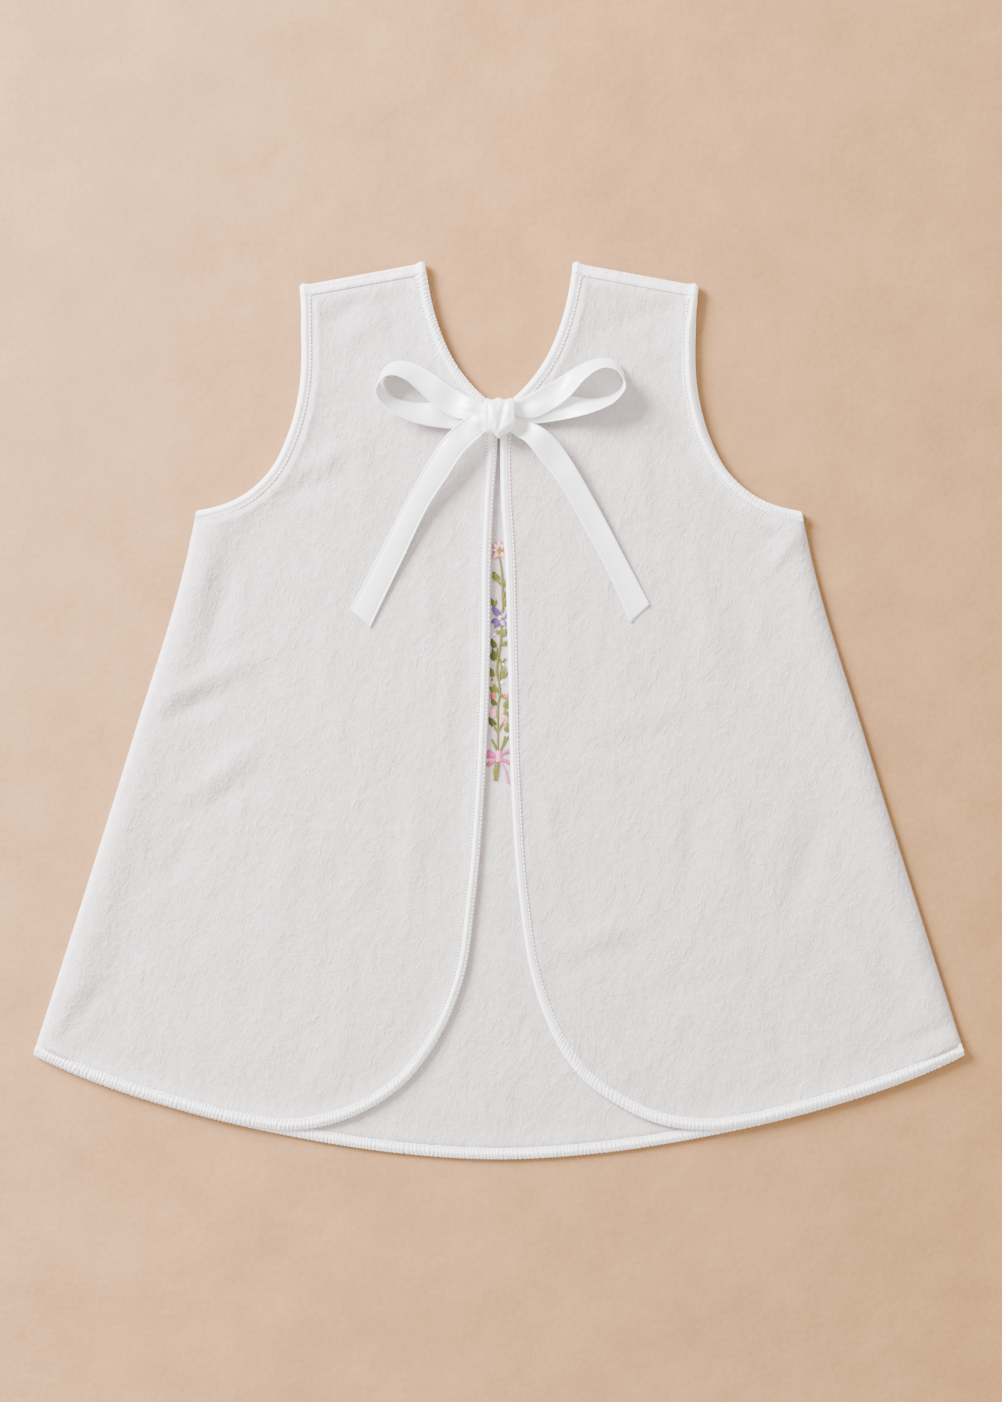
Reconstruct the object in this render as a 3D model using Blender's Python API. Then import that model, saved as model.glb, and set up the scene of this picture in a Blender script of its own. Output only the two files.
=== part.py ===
"""A baby's sleeveless day dress, laid flat on its front with the open back upward.

The front is one panel. Its shoulders turn over a fold and meet the two back panels at a
seam on the upper side. Narrow folded strips bind the neck, the armholes, the hem and the
open edges of the back, and a satin ribbon is tied in a bow where the neck corners meet.

The dress lies in the XY plane on z = 0, with its shoulders towards +Y. Sizes are in
metres; the tables hold millimetres, a row for each point of an edge.
"""
import math

import bmesh
import bpy
import numpy as np

MM = 0.001

# Cloth and strips
WALL = 1.0 * MM
STRIP_WIDTH = 4.6 * MM
STRIP_THICKNESS = 2.0 * MM
GAP = 0.3 * MM
INSET = STRIP_WIDTH + GAP
ROLL_SHARE = 0.14
ROLL_HEIGHT = 0.4

# Half outline of the dress, seen from above: half width, height above the middle
NECK = ((30.3, 183.5), (29.1, 174.5), (25.2, 158.1), (17.8, 141.7), (7.6, 129.4), (0.0, 123.4))
ARMHOLE = ((81.6, 174.0), (80.6, 158.0), (81.6, 129.4), (85.9, 113.0), (94.0, 97.6),
           (106.5, 87.4), (124.2, 79.3))
SIDE = ((124.2, 79.3), (127.9, 61.7), (149.9, -12.1), (173.0, -85.9), (190.7, -141.2))
HEM = ((0.0, -183.6), (40.0, -181.2), (85.0, -174.2), (130.0, -163.7), (175.0, -148.4),
       (190.7, -141.2))
BACK_HEM_RISE = 0.6 * MM

# Open edges of the back: height, then the distance from the middle on the left and right
OPENING = (
    (122.2, 0.6, 0.3),
    (110.9, 0.7, 0.4),
    (86.3, 2.3, 0.9),
    (61.7, 3.4, 2.5),
    (28.9, 3.7, 3.6),
    (-28.5, 5.8, 4.9),
    (-77.7, 9.8, 8.4),
    (-110.5, 14.8, 13.8),
    (-126.9, 21.0, 19.3),
    (-139.2, 27.9, 25.4),
    (-151.5, 37.7, 35.0),
    (-159.7, 48.0, 46.0),
    (-168.0, 65.5, 62.5),
    (-171.5, 86.0, 84.0),
)
BACK_HEM_HALF_WIDTHS = (104.0, 130.0, 155.0, 175.0, 190.3)
ROUND_CORNER_Y = -148.0 * MM
UNDER_NECK_GAP = 1.5 * GAP

# Heights of the middle of each layer above the surface that the dress lies on
FRONT_LOW = WALL / 2
FRONT_BOUND = STRIP_THICKNESS / 2
BACK_LOW = WALL + GAP + WALL / 2
BACK_ON_FRONT = WALL + GAP + STRIP_THICKNESS / 2
BACK_BOUND = STRIP_THICKNESS + GAP + STRIP_THICKNESS / 2
FRONT_RISE_START = 4.8 * MM
FRONT_RISE_REACH = 10.0 * MM
BACK_RISE_START = 7.5 * MM
BACK_RISE_REACH = 12.0 * MM
OPENING_RISE_START = 5.0 * MM
OPENING_RISE_REACH = 10.0 * MM
SIDE_SEAM_REACH = 5.0 * MM
SIDE_PUFF = 0.6 * MM
SIDE_PUFF_PLACE = 6.0 * MM
RIPPLE_HEIGHT = 0.7 * MM
RIPPLE_PITCH = 46.0 * MM
RIPPLE_MARGIN = 35.0 * MM
RIPPLE_TOP_Y = 40.0 * MM
RIPPLE_FAN = 0.35

# Shoulder: the front turns over the fold and is sewn to the back on the upper side
FOLD_RADIUS = (BACK_BOUND - FRONT_BOUND) / 2
FOLD_CENTRE = WALL / 2 + FOLD_RADIUS
SHOULDER_SEAM = 5.0 * MM
FRONT_TOP = SHOULDER_SEAM - GAP / 2
BACK_TOP = SHOULDER_SEAM + GAP / 2
FOLD_STEPS = 6

# Meshes: rows down a panel, cells across it, and the length that one radian counts for.
# A joined outline drops points closer than the trim to the joint.
NECK_ROWS = 8
ARMHOLE_ROWS = 13
PANEL_ROWS = 32
BACK_CELLS = 12
FRONT_CELLS = 10
HEM_CELLS = 16
TURN_WEIGHT = 45.0 * MM
LINE_POINTS = 50
UPPER_POINTS = 40
TRIM = 0.5 * MM
RIM_BEVEL = 0.25 * MM
RIM_ANGLE = math.radians(60)
SHARP_ANGLE = math.radians(50)

# Ribbon of the bow: 10 mm wide, given by its lower and its upper edge
RIBBON_THICKNESS = 1.0 * MM
RIBBON_STEP = 4.2 * MM
RIBBON_TURN_WEIGHT = 12.0 * MM
RIBBON_CELLS = 3

# Left loop: x, y, z of the lower edge, then x, y, z of the upper edge
LOOP_LEFT = (
    (-6.6, 125.3, 7.6, -6.6, 119.6, 8.2),
    (-13.5, 128.5, 7.2, -16.4, 119.1, 7.8),
    (-21.5, 133.3, 6.4, -26.0, 124.2, 7.7),
    (-29.3, 138.6, 5.2, -33.3, 130.6, 9.4),
    (-36.3, 142.1, 4.3, -38.7, 134.9, 10.9),
    (-41.6, 142.7, 4.0, -43.2, 136.3, 11.8),
    (-45.8, 140.8, 3.9, -46.6, 135.4, 12.5),
    (-48.2, 137.3, 3.9, -49.2, 132.5, 12.8),
    (-48.6, 134.6, 3.9, -50.1, 129.8, 12.7),
    (-47.4, 132.0, 3.9, -48.9, 126.5, 12.3),
    (-45.0, 129.4, 3.9, -46.0, 123.2, 11.8),
    (-41.2, 127.4, 3.9, -41.4, 120.3, 11.0),
    (-36.4, 126.2, 3.9, -35.6, 117.9, 9.4),
    (-30.7, 125.7, 4.0, -29.2, 116.3, 7.4),
    (-24.1, 125.6, 4.6, -22.6, 115.5, 5.9),
    (-16.6, 124.5, 5.3, -16.0, 115.4, 5.5),
    (-6.6, 123.2, 5.4, -6.6, 116.6, 5.5),
)

# Right loop: x, y, z of the lower edge, then x, y, z of the upper edge
LOOP_RIGHT = (
    (6.6, 126.7, 7.6, 6.6, 121.0, 8.4),
    (11.9, 128.9, 7.6, 13.9, 119.5, 8.4),
    (18.5, 132.6, 6.6, 22.3, 123.2, 8.2),
    (25.0, 136.5, 5.4, 29.1, 128.5, 9.8),
    (31.6, 140.4, 4.6, 34.9, 134.7, 12.0),
    (37.3, 143.1, 4.3, 39.4, 138.4, 13.0),
    (43.1, 144.2, 4.2, 43.9, 139.6, 13.2),
    (48.0, 142.5, 4.2, 48.2, 138.2, 13.3),
    (50.6, 139.2, 4.2, 50.6, 135.1, 13.4),
    (51.3, 135.4, 4.2, 51.5, 131.7, 13.5),
    (50.0, 131.4, 4.2, 50.0, 128.4, 13.6),
    (47.1, 129.1, 4.2, 47.1, 125.4, 13.5),
    (42.2, 127.6, 4.2, 43.1, 123.1, 13.1),
    (36.1, 127.3, 4.3, 36.9, 120.8, 11.9),
    (29.5, 128.3, 4.6, 30.3, 119.4, 8.6),
    (23.4, 127.9, 4.9, 23.8, 118.3, 6.6),
    (16.8, 126.6, 5.2, 16.8, 117.3, 6.0),
    (11.5, 125.2, 5.4, 11.5, 117.2, 5.8),
    (6.6, 123.6, 5.4, 6.6, 117.5, 5.6),
)

# Tails: x, y, z of the edge away from the middle, then x, y, z of the edge near it
TAIL_LEFT = (
    (-6.7, 122.8, 9.7, -6.7, 113.6, 9.3),
    (-11.9, 120.3, 9.8, -7.8, 111.5, 9.4),
    (-18.0, 115.6, 9.6, -11.5, 108.2, 9.6),
    (-23.6, 109.3, 9.2, -15.8, 103.3, 9.5),
    (-28.3, 102.1, 8.5, -20.1, 96.6, 8.8),
    (-35.7, 89.6, 6.6, -27.6, 85.5, 6.9),
    (-48.4, 65.4, 4.3, -40.0, 60.5, 4.5),
    (-60.8, 41.4, 3.9, -52.8, 34.0, 3.9),
)
TAIL_RIGHT = (
    (6.7, 120.4, 7.0, 6.7, 113.9, 7.4),
    (11.6, 118.3, 7.6, 7.0, 112.2, 8.4),
    (17.2, 115.4, 8.4, 10.9, 109.5, 8.8),
    (23.0, 110.6, 8.6, 15.6, 103.9, 9.0),
    (28.7, 103.1, 8.0, 20.9, 97.4, 8.4),
    (34.4, 93.7, 7.0, 26.4, 89.6, 7.3),
    (41.4, 81.4, 5.8, 33.6, 76.9, 6.0),
    (51.7, 61.9, 4.5, 43.5, 58.6, 4.6),
    (61.6, 43.3, 3.9, 53.8, 35.9, 3.9),
)

# Knot: a short wrapped band around the crossing, its axis along X
KNOT_WIDTH = 12.4 * MM
KNOT_MIDDLE = (0.1 * MM, 119.6 * MM, 9.3 * MM)
KNOT_HALF_LENGTH = 7.4 * MM
KNOT_HALF_HEIGHT = 4.3 * MM
KNOT_GATHER = 0.35 * MM
KNOT_GATHERS = 3.0
KNOT_STATIONS = 11
KNOT_AROUND = 20
KNOT_END = 0.74
KNOT_ROUNDING = 5
KNOT_SAG = 1.4 * MM
KNOT_SAG_PLACE = -0.05
KNOT_SAG_REACH = 0.38

CLOTH_COLOUR = (0.84, 0.83, 0.82)
STRIP_COLOUR = (0.90, 0.895, 0.89)
SATIN_COLOUR = (0.90, 0.89, 0.88)


def smooth(points, step=1.0 * MM):
    """A smooth curve through the points: cubic pieces whose slopes at each point are the
    chord-weighted mean of the chords on both sides. It has a point about every step."""
    points = np.asarray(points, float)
    chords = np.linalg.norm(np.diff(points[:, :3], axis=0), axis=1)
    slopes = np.diff(points, axis=0) / chords[:, None]
    before, after = chords[:-1, None], chords[1:, None]
    middle = (slopes[:-1] * after + slopes[1:] * before) / (before + after)
    start = 1.5 * slopes[0] - 0.5 * middle[0]
    end = 1.5 * slopes[-1] - 0.5 * middle[-1]
    tangents = np.vstack([start, middle, end])
    curve = [points[:1]]
    for k, chord in enumerate(chords):
        u = np.linspace(0, 1, max(2, math.ceil(chord / step)) + 1)[1:, None]
        curve.append(points[k] * (2 * u**3 - 3 * u**2 + 1)
                     + tangents[k] * chord * (u**3 - 2 * u**2 + u)
                     + points[k + 1] * (3 * u**2 - 2 * u**3)
                     + tangents[k + 1] * chord * (u**3 - u**2))
    return np.vstack(curve)


def length_along(curve):
    """The distance along the curve at each of its points."""
    steps = np.linalg.norm(np.diff(curve[:, :3], axis=0), axis=1)
    return np.concatenate([[0], np.cumsum(steps)])


def turning_along(curve):
    """The angle by which the curve has turned at each of its points."""
    chords = np.diff(curve[:, :3], axis=0)
    chords /= np.linalg.norm(chords, axis=1)[:, None]
    turns = np.arccos(np.clip(np.sum(chords[:-1] * chords[1:], axis=1), -1, 1))
    return np.concatenate([[0], np.cumsum(turns), [np.sum(turns)]])


def resample(curve, cells, turn_weight=TURN_WEIGHT):
    """The curve with fewer points, spaced evenly in its length plus its weighted turning,
    so that they lie closer together where it bends."""
    measure = length_along(curve) + turn_weight * turning_along(curve)
    targets = np.linspace(0, measure[-1], cells + 1)
    return np.column_stack([np.interp(targets, measure, column) for column in curve.T])


def offset(curve, distance):
    """A parallel of a plan curve on its left side. Each point moves along the mean of the
    normals of its two chords, by more where the curve turns a corner."""
    chords = np.diff(curve, axis=0)
    chords /= np.linalg.norm(chords, axis=1)[:, None]
    normals = np.column_stack([-chords[:, 1], chords[:, 0]])
    before = np.vstack([normals[:1], normals])
    after = np.vstack([normals, normals[-1:]])
    mean = (before + after) / (1 + np.sum(before * after, axis=1))[:, None]
    return curve + distance * mean


def meet(curve, point, direction):
    """The curve cut or stretched at its end so that it stops on the line through point."""
    point, direction = np.asarray(point), np.asarray(direction)
    across = np.array([-direction[1], direction[0]])
    side = (curve - point) @ across
    beyond = np.nonzero(np.sign(side) != np.sign(side[0]))[0]
    kept = curve[:beyond[0]] if len(beyond) else curve[:-1]
    last = curve[len(kept)] - curve[len(kept) - 1]
    share = -((kept[-1] - point) @ across) / (last @ across)
    return np.vstack([kept, kept[-1] + share * last])


def fall(distance, start, reach):
    """1 up to start, then a smooth fall to 0 over reach."""
    u = np.clip((np.asarray(distance) - start) / reach, 0, 1)
    return 1 - u * u * (3 - 2 * u)


def distance_to(curve, places):
    """The distance in plan from each place to the nearest point of the curve."""
    flat = places[..., :2].reshape(-1, 2)
    nearest = [np.min(np.hypot(*(curve - place).T)) for place in flat]
    return np.array(nearest).reshape(places.shape[:-1])


def mirrored(curve):
    """The curve on the other side of the middle."""
    return curve * np.array([-1.0] + [1.0] * (curve.shape[-1] - 1))


# Outline curves of the right half
neck_edge = smooth(np.array(NECK) * MM)
armhole_edge = smooth(np.array(ARMHOLE) * MM)
side_edge = smooth(np.array(SIDE) * MM)
whole_hem = smooth(np.vstack([mirrored(np.array(HEM))[:0:-1], HEM]) * MM)
hem_edge = whole_hem[whole_hem[:, 0] > -0.01 * MM]
hem_corner = side_edge[-1]
shoulder_inner, shoulder_outer = neck_edge[0], armhole_edge[0]
shoulder_along = (shoulder_outer - shoulder_inner) / np.linalg.norm(shoulder_outer - shoulder_inner)
shoulder_out = np.array([-shoulder_along[1], shoulder_along[0]])
side_top_direction = side_edge[3] - side_edge[0]
side_end_direction = side_edge[-1] - side_edge[-4]
shoulder_edge = np.linspace(shoulder_inner, shoulder_outer, LINE_POINTS)
bound_edges = np.vstack([neck_edge, armhole_edge, hem_edge, shoulder_edge])
bound_edges = np.vstack([bound_edges, mirrored(bound_edges)])
both_sides = np.vstack([side_edge, mirrored(side_edge)])


def shoulder_line(depth):
    """A point and the direction of the line that lies this deep below the shoulder fold."""
    return shoulder_inner - depth * shoulder_out, shoulder_along


def cut_at_shoulder(curve, depth):
    """The part of a curve that starts at the shoulder and lies deeper than the line."""
    point, direction = shoulder_line(depth)
    return meet(curve[::-1], point, direction)[::-1]


def at_depth(curve, depth):
    """The point of a curve, near the shoulder, at this depth below the fold."""
    upper = curve[:UPPER_POINTS]
    depths = (shoulder_inner - upper) @ shoulder_out
    return np.array([np.interp(depth, depths, upper[:, 0]), np.interp(depth, depths, upper[:, 1])])


def side_share(places):
    """1 on the side seam, 0 away from it."""
    return fall(distance_to(both_sides, places), 0, SIDE_SEAM_REACH)


def front_height(places):
    """Height of the front's middle: flat on the surface, raised where a strip binds it."""
    rise = fall(distance_to(bound_edges, places), FRONT_RISE_START, FRONT_RISE_REACH)
    return FRONT_LOW + (FRONT_BOUND - FRONT_LOW) * rise


def back_height(places, opening, on_opening=None):
    """Height of the back's middle: it lies on the front, clears the front's strips near the
    bound edges, and rises to the middle of its own strip at the opening."""
    rise = (BACK_BOUND - BACK_LOW) * fall(distance_to(bound_edges, places), BACK_RISE_START,
                                          BACK_RISE_REACH)
    if on_opening is None:
        on_opening = fall(distance_to(opening, places), OPENING_RISE_START, OPENING_RISE_REACH)
    own = (BACK_ON_FRONT - BACK_LOW) * on_opening * (1 - rise / (BACK_BOUND - BACK_LOW))
    return BACK_LOW + rise + own


def ripple(places, opening):
    """Soft ripples that run down the skirt of the back and die out at its edges."""
    margin = np.minimum(distance_to(bound_edges, places), distance_to(opening, places))
    margin = np.minimum(margin, distance_to(both_sides, places))
    inside = 1 - fall(margin, 0, RIPPLE_MARGIN)
    below = np.clip((RIPPLE_TOP_Y - places[..., 1]) / (RIPPLE_TOP_Y - ROUND_CORNER_Y), 0, 1)
    fan = places[..., 0] * (1 - RIPPLE_FAN * below)
    return RIPPLE_HEIGHT * inside * below * 0.5 * (1 + np.sin(2 * math.pi * fan / RIPPLE_PITCH))


def with_side_seam(front, back, places):
    """Both layers brought together at the side seam, the back puffed a little beside it."""
    seam = (front + back) / 2
    share = side_share(places)
    near = WALL / 2 + GAP / 2
    away = distance_to(both_sides, places) / SIDE_PUFF_PLACE
    puff = SIDE_PUFF * away * np.exp(1 - away)
    front = front + share * (seam - near - front)
    back = back + share * (seam + near - back) + puff * (1 - share)
    return front, back


def coons(top, bottom, inner, outer):
    """A grid over four edges: the sum of the two ruled grids less the one of the corners."""
    v = np.linspace(0, 1, len(inner))[:, None, None]
    u = np.linspace(0, 1, len(top))[None, :, None]
    down = (1 - v) * top[None] + v * bottom[None]
    across = (1 - u) * inner[:, None] + u * outer[:, None]
    corners = ((1 - v) * ((1 - u) * top[0] + u * top[-1])
               + v * ((1 - u) * bottom[0] + u * bottom[-1]))
    return down + across - corners


def panel_edges():
    """The outer edge that front and back share: armhole, cut in by its strip, then side."""
    armhole = offset(armhole_edge, -INSET)
    armhole = meet(armhole, side_edge[0], side_top_direction)
    below = np.vstack([armhole[-1:], side_edge[side_edge[:, 1] < armhole[-1, 1] - TRIM]])
    return armhole, below


def stop_side(below, corner):
    """The side edge, stopped at the lower corner of the panel."""
    return np.vstack([below[below[:, 1] > corner[1] + TRIM], corner])


def material(name, colour, roughness):
    """A plain non-metallic surface of one colour."""
    made = bpy.data.materials.new(name)
    made.use_nodes = True
    shader = made.node_tree.nodes["Principled BSDF"]
    shader.inputs["Base Color"].default_value = (*colour, 1.0)
    shader.inputs["Roughness"].default_value = roughness
    shader.inputs["Metallic"].default_value = 0.0
    return made


def add_object(name, bm, surface):
    """A named object from a finished bmesh, shaded smooth but for its sharp edges."""
    mesh = bpy.data.meshes.new(name)
    bmesh.ops.recalc_face_normals(bm, faces=bm.faces)
    bm.to_mesh(mesh)
    bm.free()
    mesh.materials.append(surface)
    mesh.shade_smooth()
    mesh.set_sharp_from_angle(angle=SHARP_ANGLE)
    made = bpy.data.objects.new(name, mesh)
    bpy.context.collection.objects.link(made)
    return made


def add_grid(bm, grid):
    """Quads over a grid of points."""
    rows = [[bm.verts.new(point) for point in row] for row in grid]
    for upper, lower in zip(rows, rows[1:]):
        for k in range(len(upper) - 1):
            bm.faces.new((upper[k], upper[k + 1], lower[k + 1], lower[k]))


def sheet(name, grids, thickness, surface):
    """A wall of even thickness over one or more grids that share their edges."""
    bm = bmesh.new()
    for grid in grids:
        add_grid(bm, grid)
    bmesh.ops.remove_doubles(bm, verts=bm.verts, dist=0.001 * MM)
    made = add_object(name, bm, surface)
    wall = made.modifiers.new("wall", "SOLIDIFY")
    wall.thickness = thickness
    wall.offset = 0.0
    wall.use_even_offset = True
    rim = made.modifiers.new("rim", "BEVEL")
    rim.width = RIM_BEVEL
    rim.segments = 1
    rim.limit_method = "ANGLE"
    rim.angle_limit = RIM_ANGLE
    return made


def strip_section():
    """Section of a folded strip, flat with rounded edges: share of its width, height."""
    half = STRIP_THICKNESS / 2
    upper = ((0.0, ROLL_HEIGHT * half), (ROLL_SHARE, half),
             (1.0 - ROLL_SHARE, half), (1.0, ROLL_HEIGHT * half))
    return upper + tuple((across, -up) for across, up in reversed(upper))


def strip(name, outer, inner, height, turn, fold_out, surface):
    """A folded strip between two edge curves in plan. Height is that of its middle, turn
    the angle by which it has gone round the shoulder fold, fold_out the fold's direction."""
    bm = bmesh.new()
    rings = []
    for out, into, z, angle, away in zip(outer, inner, height, turn, fold_out):
        up = np.array([*(math.sin(angle) * away), -math.cos(angle)])
        start, end = np.array([*out, z]), np.array([*into, z])
        rings.append([bm.verts.new(start + share * (end - start) + rise * up)
                      for share, rise in strip_section()])
    for ring, following in zip(rings, rings[1:]):
        for k in range(len(ring)):
            bm.faces.new((ring[k - 1], ring[k], following[k], following[k - 1]))
    bm.faces.new(rings[0])
    bm.faces.new(rings[-1])
    return add_object(name, bm, surface)


def flat_strip(name, outer, inner, height, surface):
    """A folded strip with no shoulder fold."""
    still = np.zeros(len(outer))
    return strip(name, outer, inner, height, still, np.zeros((len(outer), 2)), surface)


def fold_stations():
    """Depth, height and turn from the shoulder seam over the fold to the lower layer."""
    turns = np.linspace(math.pi, 0, FOLD_STEPS + 1)
    depth = FOLD_CENTRE - FOLD_RADIUS * np.sin(turns)
    height = FRONT_BOUND + FOLD_RADIUS * (1 - np.cos(turns))
    depth = np.concatenate([[FRONT_TOP], depth])
    return depth, np.concatenate([[BACK_BOUND], height]), np.concatenate([[math.pi], turns])


def over_fold(outer, inner, cells):
    """Both edges of a front strip, from the shoulder seam over the fold and down."""
    depth, height, turn = fold_stations()
    folded_outer = np.array([at_depth(outer, d) for d in depth])
    folded_inner = np.array([at_depth(inner, d) for d in depth])
    flat_outer = cut_at_shoulder(outer, FOLD_CENTRE)
    flat_inner = cut_at_shoulder(inner, FOLD_CENTRE)
    flat_outer, flat_inner = resample(flat_outer, cells)[1:], resample(flat_inner, cells)[1:]
    height = np.concatenate([height, np.full(cells, FRONT_BOUND)])
    turn = np.concatenate([turn, np.zeros(cells)])
    return np.vstack([folded_outer, flat_outer]), np.vstack([folded_inner, flat_inner]), height, turn


def front_panel(surface):
    """The whole front: two mirrored halves that share the middle line."""
    neck = offset(neck_edge, INSET)
    neck = meet(neck, (0, 0), (0, 1))
    armhole, below = panel_edges()
    hem = meet(offset(hem_edge, INSET), hem_corner, side_end_direction)
    depth, height, _ = fold_stations()
    u = np.linspace(0, 1, FRONT_CELLS + 1)[:, None]
    folded = []
    for d, z in zip(depth, height):
        row = (1 - u) * at_depth(neck, d) + u * at_depth(armhole, d)
        folded.append(np.column_stack([row, np.full(len(row), z)]))
    neck, armhole = cut_at_shoulder(neck, FOLD_CENTRE), cut_at_shoulder(armhole, FOLD_CENTRE)
    middle = np.linspace(neck[-1], (0, hem[0, 1]), LINE_POINTS)
    inner = np.vstack([resample(neck, NECK_ROWS), resample(middle, PANEL_ROWS - NECK_ROWS)[1:]])
    side = stop_side(below, hem[-1])
    outer = np.vstack([resample(armhole, ARMHOLE_ROWS), resample(side, PANEL_ROWS - ARMHOLE_ROWS)[1:]])
    flat = coons((1 - u) * inner[0] + u * outer[0], resample(hem, FRONT_CELLS), inner, outer)
    opening = back_outline(1)
    low, _ = with_side_seam(front_height(flat), back_height(flat, opening), flat)
    half = np.concatenate([np.array(folded)[:-1], np.dstack([flat, low])])
    return sheet("front", (half, mirrored(half)), WALL, surface)


def back_outline(side):
    """Open edge of one back panel and its hem, from the neck corner to the side."""
    column = 2 if side > 0 else 1
    down = [(row[column], row[0]) for row in OPENING]
    half_widths = np.array(BACK_HEM_HALF_WIDTHS) * MM
    heights = np.interp(half_widths, hem_edge[:, 0], hem_edge[:, 1]) + BACK_HEM_RISE
    return smooth(np.vstack([np.array(down) * MM, np.column_stack([half_widths, heights])]))


def back_panel(name, side, surface):
    """One back panel, from the shoulder seam to the hem, with its rounded lower corner."""
    outline = back_outline(side)
    down = offset(outline, INSET)
    neck = meet(offset(neck_edge, INSET), down[0], down[1] - down[0])
    neck = cut_at_shoulder(neck, BACK_TOP)
    down = np.vstack([neck[-1:], down[down[:, 1] < neck[-1, 1] - TRIM]])
    down = meet(down, hem_corner, side_end_direction)
    turn = int(np.argmax(down[:, 1] < ROUND_CORNER_Y))
    opening, hem = down[:turn + 1], down[turn:]
    armhole, below = panel_edges()
    armhole = cut_at_shoulder(armhole, BACK_TOP)
    inner = np.vstack([resample(neck, NECK_ROWS), resample(opening, PANEL_ROWS - NECK_ROWS)[1:]])
    side_below = stop_side(below, hem[-1])
    outer = np.vstack([resample(armhole, ARMHOLE_ROWS),
                       resample(side_below, PANEL_ROWS - ARMHOLE_ROWS)[1:]])
    u = np.linspace(0, 1, BACK_CELLS + 1)[:, None]
    flat = coons((1 - u) * inner[0] + u * outer[0], resample(hem, BACK_CELLS), inner, outer)
    _, high = with_side_seam(front_height(flat), back_height(flat, outline), flat)
    grid = np.dstack([flat, high + ripple(flat, outline)])
    return sheet(name, (grid if side > 0 else mirrored(grid),), WALL, surface)


def front_strips(surface):
    """Neck, armhole and hem strips of the front."""
    inner_neck = meet(offset(neck_edge, STRIP_WIDTH), (0, 0), (0, 1))
    outer, inner, height, turn = over_fold(neck_edge, inner_neck, NECK_ROWS)
    out = np.tile(shoulder_out, (len(outer), 1))
    strip("front_neck_strip",
          np.vstack([outer, mirrored(outer[-2::-1])]), np.vstack([inner, mirrored(inner[-2::-1])]),
          np.concatenate([height, height[-2::-1]]), np.concatenate([turn, turn[-2::-1]]),
          np.vstack([out, mirrored(out[-2::-1])]), surface)
    inner_armhole = meet(offset(armhole_edge, -STRIP_WIDTH), side_edge[0], side_top_direction)
    outer, inner, height, turn = over_fold(armhole_edge, inner_armhole, ARMHOLE_ROWS)
    out = np.tile(shoulder_out, (len(outer), 1))
    strip("front_right_armhole_strip", outer, inner, height, turn, out, surface)
    strip("front_left_armhole_strip", mirrored(outer), mirrored(inner), height, turn,
          mirrored(out), surface)
    inner_hem = meet(offset(hem_edge, STRIP_WIDTH), hem_corner, side_end_direction)
    outer, inner = resample(hem_edge, HEM_CELLS), resample(inner_hem, HEM_CELLS)
    outer = np.vstack([mirrored(outer[:0:-1]), outer])
    inner = np.vstack([mirrored(inner[:0:-1]), inner])
    flat_strip("front_hem_strip", outer, inner, np.full(len(outer), FRONT_BOUND), surface)


def back_strips(word, side, surface):
    """Neck, armhole and open edge strips of one back panel."""
    outline = back_outline(side)

    def add(kind, outer, inner, height):
        if side < 0:
            outer, inner = mirrored(outer), mirrored(inner)
        flat_strip(f"back_{word}_{kind}_strip", outer, inner, height, surface)

    middle_line = outline[0], outline[0] - outline[1]
    neck = cut_at_shoulder(meet(neck_edge, *middle_line), BACK_TOP)
    inner_neck = cut_at_shoulder(meet(offset(neck_edge, STRIP_WIDTH), *middle_line), BACK_TOP)
    add("neck", resample(neck, NECK_ROWS), resample(inner_neck, NECK_ROWS),
        np.full(NECK_ROWS + 1, BACK_BOUND))
    armhole = cut_at_shoulder(armhole_edge, BACK_TOP)
    inner_armhole = meet(offset(armhole_edge, -STRIP_WIDTH), side_edge[0], side_top_direction)
    inner_armhole = cut_at_shoulder(inner_armhole, BACK_TOP)
    add("armhole", resample(armhole, ARMHOLE_ROWS), resample(inner_armhole, ARMHOLE_ROWS),
        np.full(ARMHOLE_ROWS + 1, BACK_BOUND))
    under_neck = inner_neck[-1] - (0, UNDER_NECK_GAP), inner_neck[-1] - inner_neck[-4]
    inner_edge = meet(offset(outline, STRIP_WIDTH), hem_corner, side_end_direction)
    edge = meet(meet(outline, hem_corner, side_end_direction)[::-1], *under_neck)[::-1]
    inner_edge = meet(inner_edge[::-1], *under_neck)[::-1]
    cells = PANEL_ROWS - NECK_ROWS + BACK_CELLS
    edge, inner_edge = resample(edge, cells), resample(inner_edge, cells)
    height = back_height((edge + inner_edge) / 2, outline, on_opening=1.0)
    add("edge", edge, inner_edge, height)


def ribbon(name, table, surface):
    """A ribbon between its two edges, as one sheet."""
    edges = smooth(np.array(table) * MM, step=0.5 * MM)
    cells = round(length_along(edges)[-1] / RIBBON_STEP)
    edges = resample(edges, cells, RIBBON_TURN_WEIGHT)
    u = np.linspace(0, 1, RIBBON_CELLS + 1)[None, :, None]
    grid = (1 - u) * edges[:, None, :3] + u * edges[:, None, 3:]
    return sheet(name, (grid,), RIBBON_THICKNESS, surface)


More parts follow.
